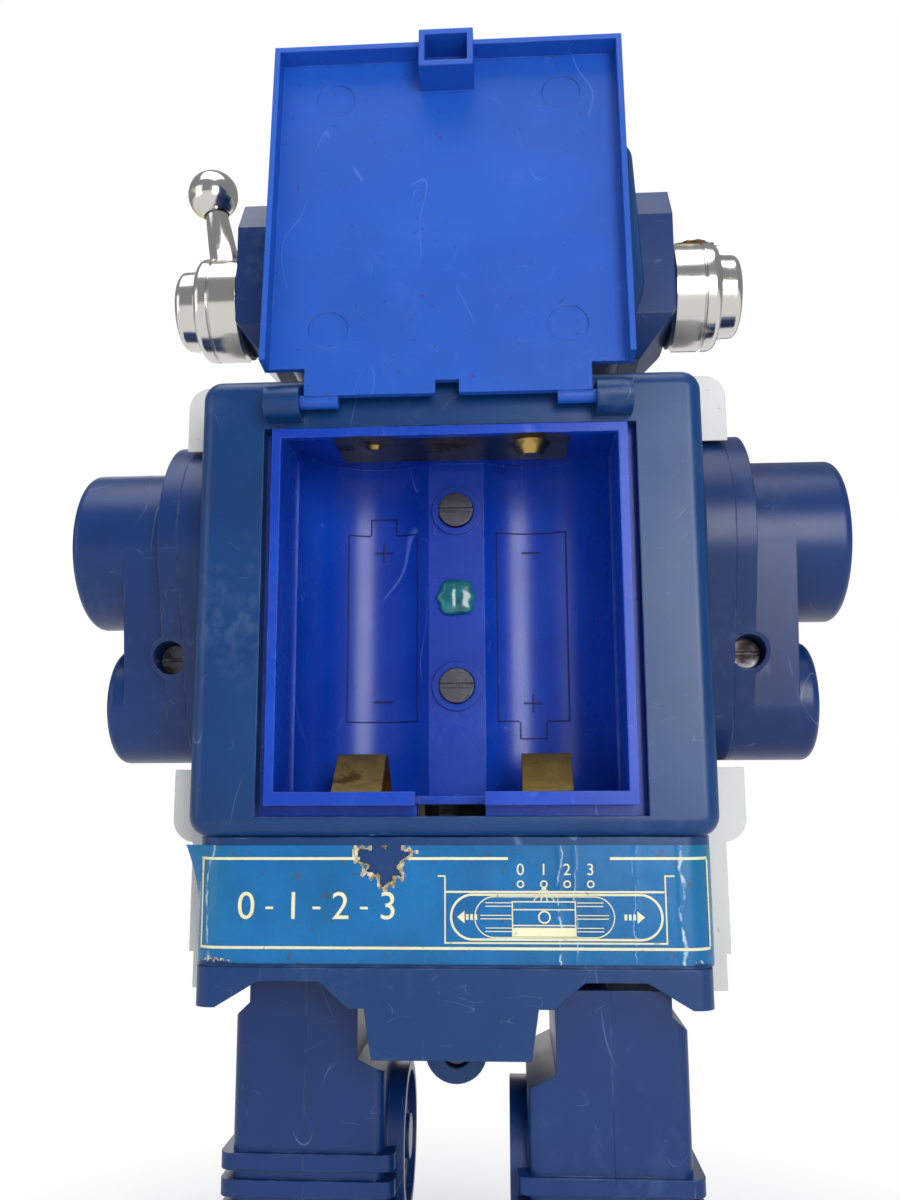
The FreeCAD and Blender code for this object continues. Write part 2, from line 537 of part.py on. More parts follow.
def make_contact_leaves():
    """Two bent strips that stand on the low end wall and press a cell up."""
    low = BAY_START
    peak = f"{BAY_START} + leaf_rise"
    leaves = []
    for side in SIDES.values():
        profile = [("23", low), ("47", low), ("47", f"{low} + strip_thick"), ("45.5", f"{low} + strip_thick"),
                   ("36.5", peak), ("33.5", peak), ("24.5", f"{low} + 0.9"), ("25.5", f"{low} + 0.6"),
                   ("33.9", f"{peak} - strip_thick"), ("36.1", f"{peak} - strip_thick"),
                   ("44.6", f"{low} + strip_thick"), ("23", f"{low} + strip_thick")]
        leaves.append(prism("x", profile, around(f"({side} * leaf_centre)", "leaf_wide / 2")))
    return group(*leaves)


def make_ridge_screw(height):
    head = rod("y", (RIDGE_TOP, f"{RIDGE_TOP} + ridge_head_thick"), ("0", height), "ridge_head_radius")
    shank = rod("y", (f"{BOX_FRONT} - 3", RIDGE_TOP), ("0", height), "ridge_shank_radius")
    slot = box(even("ridge_head_radius"), (f"{RIDGE_TOP} + ridge_head_thick - 0.9", f"{RIDGE_TOP} + ridge_head_thick"),
               around(height, "0.55"))
    return cut(join(head, shank), slot)


def make_sealed_screw():
    disc = rod("y", (RIDGE_TOP, f"{RIDGE_TOP} + 1.2"), ("0", "sealed_screw_z"), "4.35")
    crown = cone("y", (f"{RIDGE_TOP} + 1.2", f"{RIDGE_TOP} + 2.0"), ("0", "sealed_screw_z"), "4.35", "3.2")
    return join(disc, crown)


def make_screw(axis_span, centre, head_radius, head_thick, shank_radius):
    """A screw along Y whose head faces the rear at the end of its span."""
    start, finish = axis_span
    head = rod("y", (f"{finish} - {head_thick}", finish), centre, head_radius)
    shank = rod("y", (start, f"{finish} - {head_thick}"), centre, shank_radius)
    slot = box(around(centre[0], head_radius), (f"{finish} - 0.7", finish), around(centre[1], "0.45"))
    return cut(join(head, shank), slot)


def make_lid():
    """The lid in its shut place, hinge axis along X."""
    inner = "rim_back + lid_gap"
    outer = "rim_back + lid_gap + lid_thick"
    plate = box(even("lid_half"), (inner, outer), ("lid_low", "lid_high"))
    neck = box(even("lid_neck_half"), (inner, outer), ("lid_high", "hinge_z - lid_neck_end"))
    notch = box(even("notch_half"), (inner, outer), ("hinge_z - lid_neck_end - notch_deep", "hinge_z"))
    deep = (f"{inner} - lid_wall_deep", inner)
    walls = [box(mirror_span(side, "lid_half - lid_wall", "lid_half"), deep, ("lid_low", "lid_high"))
             for side in SIDES.values()]
    walls.append(box(even("lid_half"), deep, ("lid_low", "lid_low + lid_wall")))
    hook = cut(box(even("hook_half"), (f"{inner} - hook_out", inner), ("lid_low", "lid_low + hook_tall")),
               box(even("hook_half - hook_wall"), (f"{inner} - hook_out", f"{inner} - 1"),
                   ("lid_low + hook_wall", "lid_low + hook_tall - hook_wall")))
    pins = [rod("x", mirror_span(side, "pin_inner", "pin_outer"), ("hinge_y", "hinge_z"), "pin_radius")
            for side in SIDES.values()]
    marks = [rod("y", (inner, f"{inner} + ejector_deep"), (f"{side} * ejector_across", f"hinge_z - {reach}"),
                 "ejector_radius") for side in SIDES.values() for reach in ("ejector_near", "ejector_far")]
    return cut(join(cut(join(plate, neck), notch), *walls, hook, *pins), *marks)


def swing_lid(lid):
    """Turn the shut lid about its hinge axis to its open stop."""
    holder = group(lid)
    hinge = FreeCAD.Vector(0, num("hinge_y"), num("hinge_z"))
    turn = FreeCAD.Rotation(FreeCAD.Vector(1, 0, 0), num("lid_swing"))
    holder.Placement = FreeCAD.Placement(hinge, turn) * FreeCAD.Placement(-hinge, FreeCAD.Rotation())
    return holder


# ---------------------------------------------------------------- walk drive
def make_gearbox_plate(side):
    outline = [(f"{WALK_MOTOR[0]} - motor_radius + 1.5", "103"), ("41", "99"), ("41", "121"),
               (f"{BOX_FRONT} - 0.8", "128"), (f"{BOX_FRONT} - 0.8", f"{WALK_MOTOR[1]} + 14"),
               (f"{WALK_MOTOR[0]} - motor_radius + 1.5", f"{WALK_MOTOR[1]} + 14")]
    span = mirror_span(side, "plate_inner", "plate_inner + plate_thick")
    plate = prism("x", outline, span)
    holes = [rod("x", span, CRANK, "bush_radius"), rod("x", span, REDUCTION, "shaft_radius + run_gap"),
             rod("x", span, WALK_MOTOR, "motor_shaft_radius + run_gap")]
    return cut(plate, *holes)


def make_motor(start, centre):
    """A small can motor along X: can, end cap and the shaft's short nose ring."""
    span = (start, f"{start} + motor_length")
    can = cut(rod("x", span, centre, "motor_radius"),
              box(span, around(centre[0], "motor_radius"), (f"{centre[1]} + motor_radius - 1.5",
                                                           f"{centre[1]} + motor_radius")),
              box(span, around(centre[0], "motor_radius"), (f"{centre[1]} - motor_radius",
                                                           f"{centre[1]} - motor_radius + 1.5")))
    return can


def make_crank_discs():
    discs = []
    for side in SIDES.values():
        pin_centre = (f"crank_y - {side} * crank_throw", "crank_z")
        web = rod("x", mirror_span(side, "crank_disc_in", "crank_disc_in + crank_disc_thick"), CRANK,
                  "crank_disc_radius")
        pin = rod("x", mirror_span(side, "crank_disc_in + crank_disc_thick", "crank_pin_end"), pin_centre,
                  "crank_pin_radius")
        bore = rod("x", mirror_span(side, "crank_disc_in", "crank_disc_in + crank_disc_thick"), CRANK,
                   "shaft_radius")
        discs.append(cut(join(web, pin), bore))
    return group(*discs)


def make_spur(teeth, module, x_span, centre, phase, bore=None):
    wheel = place_gear(gear(teeth, module, f"({x_span[1]}) - ({x_span[0]})"), x_span[0], centre, phase)
    if bore is None:
        return wheel
    return cut(wheel, rod("x", x_span, centre, bore))


# ---------------------------------------------------------------- legs
def leg_centre(side):
    """Both legs hang on pins half a turn apart: the left one is forward, the right one back."""
    return f"(crank_y - {side} * crank_throw)"


def make_leg_half(side, is_outer):
    centre = leg_centre(side)
    depth = around(centre, "leg_depth / 2")
    room = around(centre, "leg_depth / 2 - leg_wall")
    if is_outer:
        edge = [("leg_out", "leg_low"), ("leg_out", "outer_notch_low"), ("leg_neck_out", "outer_notch_high"),
                ("leg_neck_out", "leg_top")]
        thin = [("leg_out - leg_wall", "leg_low + leg_wall"), ("leg_out - leg_wall", "outer_notch_low - 0.8"),
                ("leg_neck_out - leg_wall", "outer_notch_high - 0.8"), ("leg_neck_out - leg_wall",
                                                                        "leg_top - leg_wall")]
    else:
        edge = [("leg_in", "leg_low"), ("leg_in", "inner_notch_low"), ("leg_neck_in", "inner_notch_high"),
                ("leg_neck_in", "leg_top")]
        thin = [("leg_in + leg_wall", "leg_low + leg_wall"), ("leg_in + leg_wall", "inner_notch_low - 0.8"),
                ("leg_neck_in + leg_wall", "inner_notch_high - 0.8"), ("leg_neck_in + leg_wall",
                                                                       "leg_top - leg_wall")]
    outer = [(f"{side} * ({across})", up) for across, up in edge + [("leg_seam", "leg_top"),
                                                                   ("leg_seam", "leg_low")]]
    inner = [(f"{side} * ({across})", up) for across, up in thin + [("leg_seam", "leg_top - leg_wall"),
                                                                   ("leg_seam", "leg_low + leg_wall")]]
    limit_name = "leg_out" if is_outer else "leg_in"
    shell = rounded(prism("y", outer, depth), ("leg_edge", both(along("z"), on_plane("x", f"{side} * {limit_name}"))))
    ribs = []
    for index in range(int(num("rib_count"))):
        level = around(f"(rib_first - {index} * rib_pitch)", "rib_tall / 2")
        if is_outer:
            span = mirror_span(side, "leg_seam", "leg_out + rib_side")
        else:
            span = mirror_span(side, "leg_in - rib_side", "leg_seam")
        far = f"{side} * (leg_out + rib_side)" if is_outer else f"{side} * (leg_in - rib_side)"
        ribs.append(rounded(box(span, around(centre, "leg_depth / 2 + rib_back"), level),
                            ("leg_edge", both(along("z"), on_plane("x", far)))))
    whole = cut(join(shell, *ribs), prism("y", inner, room))
    if is_outer:
        return whole
    hub_span = mirror_span(side, "hub_inner", "leg_in + 0.5")
    face = mirror_span(side, "hub_inner", "hub_inner + hub_recess")
    hub = cut(rod("x", hub_span, (centre, "hub_z"), "hub_radius"),
              cut(rod("x", face, (centre, "hub_z"), "hub_radius - hub_rim"),
                  rod("x", face, (centre, "hub_z"), "hub_cap_radius")))
    link_span = mirror_span(side, "link_in", "leg_seam")
    link = join(box(link_span, around(centre, "link_half"), ("leg_top - leg_wall", "crank_z")),
                rod("x", link_span, (centre, "crank_z"), "link_half"))
    bore = rod("x", link_span, (centre, "crank_z"), "crank_pin_radius + run_gap")
    return cut(join(whole, hub, link), bore)


def make_foot(side):
    centre = leg_centre(side)
    toe = f"{centre} - toe_reach"
    heel = f"{centre} + heel_reach"
    profile = [(heel, "sole_thick"), (heel, "leg_low"), (f"{centre} - slope_start", "leg_low"),
               (toe, "toe_tall"), (toe, "sole_thick")]
    block = rounded(prism("x", profile, mirror_span(side, "foot_in", "foot_out")),
                    ("foot_edge", along("z")), ("foot_edge", both(along("y"), on_plane("z", "leg_low"))))
    hollow_profile = [(f"{heel} - wall", "sole_thick"), (f"{heel} - wall", "leg_low - wall"),
                      (f"{centre} - slope_start + 1", "leg_low - wall"), (f"{toe} + wall", "toe_tall - wall"),
                      (f"{toe} + wall", "sole_thick")]
    room = prism("x", hollow_profile, mirror_span(side, "foot_in + wall", "foot_out - wall"))
    middle = "(foot_in + foot_out) / 2"
    roller_y = f"({centre} - roller_forward)"
    cheeks = [box(mirror_span(side, f"{middle} + {low}", f"{middle} + {high}"),
                  around(roller_y, "roller_radius * 0.6"), ("sole_thick", "leg_low - wall"))
              for low, high in (("(-roller_half - roller_room - 3)", "(-roller_half - roller_room)"),
                                ("(roller_half + roller_room)", "(roller_half + roller_room + 3)"))]
    bore = rod("x", mirror_span(side, f"{middle} - roller_pin_half - 0.2", f"{middle} + roller_pin_half + 0.2"),
               (roller_y, "roller_z"), "axle_radius + run_gap")
    return cut(join(cut(block, room), *cheeks), bore)


def make_sole(side):
    centre = leg_centre(side)
    middle = "(foot_in + foot_out) / 2"
    pad_block = rounded(box(mirror_span(side, "foot_in", "foot_out"),
                            (f"{centre} - toe_reach", f"{centre} + heel_reach"), ("0", "sole_thick")),
                        ("foot_edge", along("z")))
    window = box(mirror_span(side, f"{middle} - roller_half - roller_room", f"{middle} + roller_half + roller_room"),
                 around(f"({centre} - roller_forward)", "roller_radius + roller_room"), ("0", "sole_thick"))
    return cut(pad_block, window)


def make_roller(side):
    middle = "(foot_in + foot_out) / 2"
    centre = (f"({leg_centre(side)} - roller_forward)", "roller_z")
    wheel = rod("x", mirror_span(side, f"{middle} - roller_half", f"{middle} + roller_half"), centre,
                "roller_radius")
    pin = rod("x", mirror_span(side, f"{middle} - roller_pin_half", f"{middle} + roller_pin_half"), centre,
              "axle_radius")
    return join(wheel, pin)


# ---------------------------------------------------------------- arms
def make_arm_outer(side):
    def drum(span, centre, radius):
        return rod("x", mirror_span(side, *span), centre, radius)
    body = join(rounded(drum(("arm_seam", "drum_end"), SHOULDER, "drum_radius"),
                        ("arm_edge", on_plane("x", f"{side} * drum_end"))),
                rounded(drum(("arm_seam", "elbow_end"), ELBOW, "elbow_radius"),
                        ("arm_edge", on_plane("x", f"{side} * elbow_end"))),
                hull(side, ("arm_seam", "flange_end"), "flange_radius", "elbow_radius"),
                hull(side, ("arm_seam", "web_end"), "drum_radius", "elbow_radius"))
    room = join(drum(("arm_seam", "drum_end - arm_wall"), SHOULDER, "drum_radius - arm_wall"),
                drum(("arm_seam", "elbow_end - arm_wall"), ELBOW, "elbow_radius - arm_wall"),
                hull(side, ("arm_seam", "flange_end - arm_wall"), "flange_radius - arm_wall",
                     "elbow_radius - arm_wall"),
                hull(side, ("arm_seam", "web_end - arm_wall"), "drum_radius - arm_wall",
                     "elbow_radius - arm_wall"))
    axis = (f"{side} * drill_x", ELBOW[1])
    sleeve = rod("y", ("sleeve_front", "shoulder_y - elbow_radius + 3"), axis, "sleeve_radius")
    bore = rod("y", ("sleeve_front", "shoulder_y - elbow_radius + 3"), axis, "drill_shaft_radius + run_gap")
    screw_axis = (f"{side} * arm_screw_x", "arm_screw_z")
    outside = "shoulder_y + flange_radius"
    seat_block = common(rod("y", ("arm_screw_seat - 1.6", outside), screw_axis, "arm_screw_hole + 1"),
                        hull(side, ("arm_seam", "web_end"), "flange_radius", "elbow_radius"))
    sink = rod("y", ("arm_screw_seat", outside), screw_axis, "arm_screw_hole")
    thread = rod("y", ("arm_screw_seat - 1.6", "arm_screw_seat"), screw_axis, "1.4")
    return cut(join(cut(body, room), sleeve, seat_block), bore, sink, thread)


def make_arm_inner(side):
    shell = cut(hull(side, ("arm_inner_x", "arm_seam"), "flange_radius", "elbow_radius"),
                hull(side, ("arm_inner_x + arm_wall", "arm_seam"), "flange_radius - arm_wall",
                     "elbow_radius - arm_wall"))
    boss = rod("x", mirror_span(side, "recess_floor - wall - pivot_boss_length", "arm_inner_x + arm_wall + 1.2"),
               SHOULDER, "arm_boss_radius")
    axles = [rod("x", mirror_span(side, "arm_inner_x + 1", "arm_gear_x + arm_gear_thick + 0.4"), centre,
                 "axle_radius") for centre in (IDLER, ELBOW)]
    washers = [rod("x", mirror_span(side, "arm_inner_x + 1", "arm_gear_x - 0.3"), centre, "3.2")
               for centre in (IDLER, ELBOW)]
    bore = rod("x", mirror_span(side, "recess_floor - wall - pivot_boss_length", "arm_inner_x + arm_wall + 1.2"),
               SHOULDER, "shaft_radius + run_gap")
    return cut(join(shell, boss, *washers, *axles), bore)


def arm_gears(side):
    """Shoulder, idler and elbow gears of one arm, in mesh from the shoulder down."""
    span = mirror_span(side, "arm_gear_x", "arm_gear_x + arm_gear_thick")
    shoulder_phase = 0.0
    idler_phase = meshed_phase("shoulder_teeth", SHOULDER, shoulder_phase, "idler_teeth", IDLER)
    elbow_phase = meshed_phase("idler_teeth", IDLER, idler_phase, "elbow_teeth", ELBOW)
    shoulder = make_spur("shoulder_teeth", "drill_module", span, SHOULDER, shoulder_phase, "shaft_radius")
    idler = make_spur("idler_teeth", "drill_module", span, IDLER, idler_phase, "axle_radius + run_gap")
    disc = make_spur("elbow_teeth", "drill_module", span, ELBOW, elbow_phase)
    start = f"{side} * (arm_gear_x + arm_gear_thick)"
    crown_thick = "(drill_x - crown_module * drill_teeth / 2 - 0.9 - arm_gear_x - arm_gear_thick)"
    crown = place_gear(gear("crown_teeth", "crown_module", crown_thick, face="1.5"), start, ELBOW,
                       9.0, side)
    bore = rod("x", mirror_span(side, "arm_gear_x", "drill_x"), ELBOW, "axle_radius + run_gap")
    return shoulder, idler, cut(join(disc, crown), bore)


def make_drill(side):
    """Shaft, pinion, collar and stepped bit, pointing forward along -Y."""
    axis = (f"{side} * drill_x", ELBOW[1])
    pinion_back = "(shoulder_y - crown_teeth * crown_module / 2 + 1.5)"
    pinion = gear("drill_teeth", "crown_module", "3", tooth_share=0.36)
    pinion.Placement = FreeCAD.Placement(FreeCAD.Vector(), FACING["y"])
    for name, place in zip("xyz", (axis[0], pinion_back, axis[1])):
        bind(pinion, f"Placement.Base.{name}", place)
    shaft = rod("y", ("sleeve_front - 1", f"{pinion_back} - 2.9"), axis, "drill_shaft_radius - 0.8")
    journal = rod("y", ("sleeve_front - 1", f"{pinion_back} - 4.5"), axis, "drill_shaft_radius")
    collar = rod("y", ("drill_cone_start", "sleeve_front - 0.4"), axis, "drill_collar_radius")
    steps = []
    count = 4
    for index in range(count):
        first = f"(drill_cone_start - {index} * (drill_cone_start - drill_tip_y) / {count})"
        last = f"(drill_cone_start - {index + 1} * (drill_cone_start - drill_tip_y) / {count})"
        wide = f"(drill_cone_radius - {index} * (drill_cone_radius - drill_tip_radius) / {count})"
        thin = f"(drill_cone_radius - {index + 1} * (drill_cone_radius - drill_tip_radius) / {count})"
        steps.append(cone("y", (last, first), axis, thin, wide))
    return join(pinion, shaft, journal, collar, *steps)


# ---------------------------------------------------------------- head
def head_half(back, front, with_rear_edge):
    outer = [("-head_low_half", "head_low"), ("head_low_half", "head_low"), ("head_jaw_half", "head_jaw"),
             ("head_top_half", "head_top"), ("-head_top_half", "head_top"), ("-head_jaw_half", "head_jaw")]
    inner = [(f"({across}) + ({'wall' if across.startswith('-') else '-wall'})",
              f"{up} + ({'wall' if up == 'head_low' else '-wall' if up == 'head_top' else '0'})")
             for across, up in outer]
    face = back if with_rear_edge else front
    shell = rounded(prism("y", outer, (front, back)), ("head_corner", along("y")),
                    ("head_corner", on_plane("y", face)))
    if with_rear_edge:
        return cut(shell, prism("y", inner, (front, f"{back} - wall")))
    return cut(shell, prism("y", inner, (f"{front} + wall", back)))


def make_head_front():
    sockets = [rod("y", ("head_face", "head_face + wall"), (f"{side} * eye_across", "eye_z"), "eye_radius - 1")
               for side in SIDES.values()]
    shell = head_half("head_parting", "head_face", False)
    mouth = box(even("mouth_half"), ("head_face", "head_face + 1.2"), around("mouth_z", "mouth_tall / 2"))
    return cut(shell, *sockets, mouth)


def make_eyes():
    lenses = []
    for side in SIDES.values():
        centre = (f"{side} * eye_across", "eye_z")
        rim = rod("y", ("head_face - eye_out", "head_face"), centre, "eye_radius")
        plug = rod("y", ("head_face", "head_face + wall"), centre, "eye_radius - 1.1")
        lenses.append(join(rounded(rim, ("axle_radius", on_plane("y", "head_face - eye_out"))), plug))
    return group(*lenses)


def make_mouth():
    backing = box(even("mouth_half - 0.2"), ("head_face + 0.4", "head_face + 1.2"),
                  around("mouth_z", "mouth_tall / 2 - 0.2"))
    bars = []
    for index in range(int(num("mouth_bars"))):
        place = f"((-mouth_half + 0.2) + ({index} + 0.5) * 2 * (mouth_half - 0.2) / mouth_bars)"
        bars.append(box(around(place, "1.3"), ("head_face - 1", "head_face + 0.4"),
                        around("mouth_z", "mouth_tall / 2 - 0.2")))
    return join(backing, *bars)


def make_ear_pads():
    """Eight-sided pads on the head's sides, bevelled inwards below."""
    pads = []
    for side in SIDES.values():
        profile = [("pad_front + 6", "pad_low"), ("pad_back - 6", "pad_low"), ("pad_back", "pad_low + 9"),
                   ("pad_back", "pad_high - 9"), ("pad_back - 6", "pad_high"), ("pad_front + 6", "pad_high"),
                   ("pad_front", "pad_high - 9"), ("pad_front", "pad_low + 9")]
        block = prism("x", profile, mirror_span(side, "head_low_half", "pad_half"))
        head_space = prism("y", [(f"{side} * 0", "head_low"), (f"{side} * head_low_half", "head_low"),
                                 (f"{side} * head_jaw_half", "head_jaw"), (f"{side} * head_top_half", "head_top"),
                                 (f"{side} * 0", "head_top")], ("head_face", "head_back"))
        bevel = prism("y", [(f"{side} * (pad_half - 9)", "pad_low - 1"), (f"{side} * (pad_half + 1)", "pad_low - 1"),
                            (f"{side} * (pad_half + 1)", "pad_low + 10"), (f"{side} * pad_half", "pad_low + 10")],
                      ("pad_front - 1", "pad_back + 1"))
        pads.append(cut(block, head_space, bevel))
    return group(*pads)


def make_ear(side):
    centre = ("ear_y", "ear_z")
    drum = rod("x", mirror_span(side, "pad_half", "ear_drum_end"), centre, "ear_radius")
    drum = rounded(drum, ("arm_edge", on_plane("x", f"{side} * ear_drum_end")))
    ring = rod("x", mirror_span(side, "ear_drum_end", "ear_end - 2"), centre, "ear_ring_radius")
    tip = cone("x", mirror_span(side, "ear_end - 2", "ear_end"), centre, *(
        ("ear_ring_radius - 1", "ear_ring_radius - 4") if side > 0 else
        ("ear_ring_radius - 4", "ear_ring_radius - 1")))
    return join(drum, ring, tip)


def make_antenna():
    """Tapered stem that leans outwards, with a ball on its end."""
    stem = cone("z", ("0", "antenna_length"), ("0", "0"), "antenna_thick", "antenna_thin")
    knob = ball(("0", "0", "antenna_length"), "antenna_ball")
    root = rod("z", ("-4", "0"), ("0", "0"), "antenna_thick")
    whole = group(join(stem, knob, root))
    turn = FreeCAD.Rotation(FreeCAD.Vector(0, 1, 0), num("antenna_lean"))
    whole.Placement = FreeCAD.Placement(FreeCAD.Vector(), turn)
    for name, text in zip("xyz", ("antenna_x", "ear_y", "antenna_z")):
        bind(whole, f"Placement.Base.{name}", text)
    return whole


# ---------------------------------------------------------------- front details
def make_chest_panel():
    plate = rounded(box(even("panel_half"), ("front_face - panel_thick", "front_face"),
                        ("panel_low", "panel_high")), ("head_corner", along("y")))
    bezels = []
    wells = []
    for place in ("-(panel_half * 0.6)", "0", "(panel_half * 0.6)"):
        centre = (place, "(panel_high - dial_radius - 6)")
        bezels.append(rod("y", ("front_face - panel_thick - 1.6", "front_face - panel_thick"), centre,
                          "dial_radius"))
        wells.append(rod("y", ("front_face - panel_thick - 1.6", "front_face - panel_thick - 0.4"), centre,
                         "dial_radius - 1.6"))
    vents = [box(even("panel_half - 8"), ("front_face - panel_thick", "front_face - panel_thick + 1.2"),
                 around(f"(panel_low + 7 + {index} * 5)", "1.2")) for index in range(4)]
    return cut(join(plate, *bezels), *wells, *vents)


def make_switch_plate():
    plate = rounded(box(even("plate_half"), ("front_waist_face - plate_face", "front_waist_face"),
                        ("plate_low", "plate_high")), ("foot_edge", along("y")))
    slot = box(even("slot_half"), ("front_waist_face - plate_face", "front_waist_face"),
               around("(plate_low + plate_high) / 2", "slot_tall"))
    return cut(plate, slot)


def make_switch_knob():
    middle = "(plate_low + plate_high) / 2"
    outer_face = "front_waist_face - plate_face - 0.3"
    inner_face = "front_waist_face + wall + 0.3"
    grip = box(around("knob_rest", "knob_half"), (f"{outer_face} - knob_out", outer_face),
               around(middle, "knob_half"))
    grip = rounded(grip, ("axle_radius", on_plane("y", f"{outer_face} - knob_out")))
    stem = box(around("knob_rest", "knob_stem"), (outer_face, inner_face), around(middle, "knob_stem"))
    flange = box(around("knob_rest", "knob_flange"), (inner_face, f"{inner_face} + 1.2"),
                 around(middle, "knob_flange"))
    return join(grip, stem, flange)


def make_label():
    sheet = box(even("label_half"), ("rear_waist_back", "rear_waist_back + label_thick"),
                ("label_low", "label_high"))
    return sheet


# ---------------------------------------------------------------- assembly
node("rear_shell", make_rear_shell())
node("front_shell", make_front_shell())
node("battery_box", make_battery_box())
node("contact_strip", make_contact_strip())
node("contact_leaves", make_contact_leaves())
node("divider_screws", group(make_ridge_screw("ridge_screw_high"), make_ridge_screw("ridge_screw_low")))
node("sealed_screw", make_sealed_screw())
node("waist_label", make_label())
node("battery_lid", swing_lid(make_lid()))
node("chest_panel", make_chest_panel())
node("switch_plate", make_switch_plate())
node("switch_knob", make_switch_knob())
node("hip_screw", make_screw(("hip_boss_back - hip_boss_length - 8", "hip_boss_back - 2"), ("0", "hip_boss_z"),
                             "hip_hole_radius - 0.3", "2", "axle_radius - run_gap"))

plate_span = ("-plate_inner", "plate_inner")
node("gearbox_plates", group(*[make_gearbox_plate(side) for side in SIDES.values()]))
node("gearbox_posts", group(*[rod("x", plate_span, centre, "post_radius") for centre in (
    (f"({WALK_MOTOR[0]} - motor_radius + 5)", "107"), (f"({WALK_MOTOR[0]} - motor_radius + 5)",
                                                      f"({WALK_MOTOR[1]} + 10)"),
    (f"({BOX_FRONT} - 4)", f"({WALK_MOTOR[1]} + 10)"), ("38", "104"))]))
node("crank_bushes", group(*[cut(rod("x", span, CRANK, "bush_radius"),
                                 rod("x", span, CRANK, "shaft_radius + run_gap"))
                             for span in (("plate_inner", "plate_inner + plate_thick + 1"),
                                          ("-plate_inner - plate_thick - 1", "-plate_inner"))]))
node("walk_motor", make_motor("(plate_inner + plate_thick)", WALK_MOTOR))
node("drill_motor", make_motor("(bracket_x - motor_length)", DRILL_MOTOR))

crank_phase = tooth_angle(CRANK, REDUCTION)
small_phase = meshed_phase("crank_teeth", CRANK, crank_phase, "small_teeth", REDUCTION)
large_phase = tooth_angle(REDUCTION, WALK_MOTOR)
motor_phase = meshed_phase("large_teeth", REDUCTION, large_phase, "motor_teeth", WALK_MOTOR)
crank_gear_span = ("-6", "-1.5")
node("crank_gear", make_spur("crank_teeth", "walk_module", crank_gear_span, CRANK, crank_phase, "shaft_radius"))
node("crankshaft", rod("x", even("crank_disc_in + crank_disc_thick"), CRANK, "shaft_radius"))
node("crank_discs", make_crank_discs())
node("walk_reduction_gear", join(
    make_spur("small_teeth", "walk_module", ("-6.5", "1"), REDUCTION, small_phase),
    make_spur("large_teeth", "walk_module", ("1", "5"), REDUCTION, large_phase),
    rod("x", even("plate_inner + plate_thick"), REDUCTION, "shaft_radius")))
node("walk_pinion", join(
    make_spur("motor_teeth", "walk_module", ("0.5", "5.5"), WALK_MOTOR, motor_phase),
    rod("x", ("-plate_inner - plate_thick", "plate_inner + plate_thick"), WALK_MOTOR, "motor_shaft_radius")))

cross_phase = tooth_angle(SHOULDER, DRILL_MOTOR)
drill_phase = meshed_phase("cross_teeth", SHOULDER, cross_phase, "drill_motor_teeth", DRILL_MOTOR)
cross_span = ("cross_gear_x", "cross_gear_x + cross_gear_thick")
node("cross_shaft", rod("x", even("arm_gear_x + arm_gear_thick + 0.6"), SHOULDER, "shaft_radius"))
node("cross_gear", make_spur("cross_teeth", "drill_module", cross_span, SHOULDER, cross_phase, "shaft_radius"))
node("drill_pinion", join(
    make_spur("drill_motor_teeth", "drill_module", cross_span, DRILL_MOTOR, drill_phase),
    rod("x", ("bracket_x", "cross_gear_x"), DRILL_MOTOR, "motor_shaft_radius")))

for side_name, side in SIDES.items():
    node(f"{side_name}_leg_outer", make_leg_half(side, True))
    node(f"{side_name}_leg_inner", make_leg_half(side, False))
    node(f"{side_name}_foot", make_foot(side))
    node(f"{side_name}_sole", make_sole(side))
    node(f"{side_name}_roller", make_roller(side))
    node(f"{side_name}_arm_outer", make_arm_outer(side))
    node(f"{side_name}_arm_inner", make_arm_inner(side))
    shoulder_gear, idler_gear, elbow_gear = arm_gears(side)
    node(f"{side_name}_shoulder_gear", shoulder_gear)
    node(f"{side_name}_idler_gear", idler_gear)
    node(f"{side_name}_elbow_gear", elbow_gear)
    node(f"{side_name}_drill", make_drill(side))
    node(f"{side_name}_arm_screw", make_screw(("arm_screw_seat - 3.5", "arm_screw_seat + 1.6"),
                                              (f"{side} * arm_screw_x", "arm_screw_z"), "3.3", "1.6", "1.35"))

node("head_rear_shell", head_half("head_back", "head_parting", True))
node("head_front_shell", make_head_front())
node("eye_lenses", make_eyes())
node("mouth_grille", make_mouth())
node("ear_pads", make_ear_pads())
node("left_ear", join(make_ear(1), make_antenna()))
node("right_ear", make_ear(-1))
node("neck_collar", rod("z", ("front_top", "head_low"), ("0", "ear_y"), "neck_radius"))

# ---------------------------------------------------------------- checks and files
doc.recompute()
for thing in doc.Objects:
    if "Invalid" in thing.State or "Error" in thing.State:
        raise RuntimeError(f"{thing.Name} ({thing.Label}) failed: {thing.State}")
for piece in NODES:
    if piece.Shape.isNull() or not piece.Shape.isValid() or not piece.Shape.Solids:
        raise RuntimeError(f"{piece.Label} has no valid solid")

os.makedirs("parts", exist_ok=True)
for piece in NODES:
    piece.Shape.exportStep(os.path.join("parts", f"{piece.Label}.step"))
    print(piece.Label, len(piece.Shape.Solids), "solid(s)", round(piece.Shape.Volume), "mm3")
print(len(NODES), "nodes")
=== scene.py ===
"""Looks of the walking toy robot: finishes for every part, and the pieces whose shape needs finer modelling.

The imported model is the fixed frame. Lengths are in metres, and MM turns a size in millimetres into metres.
"""
import math
import random

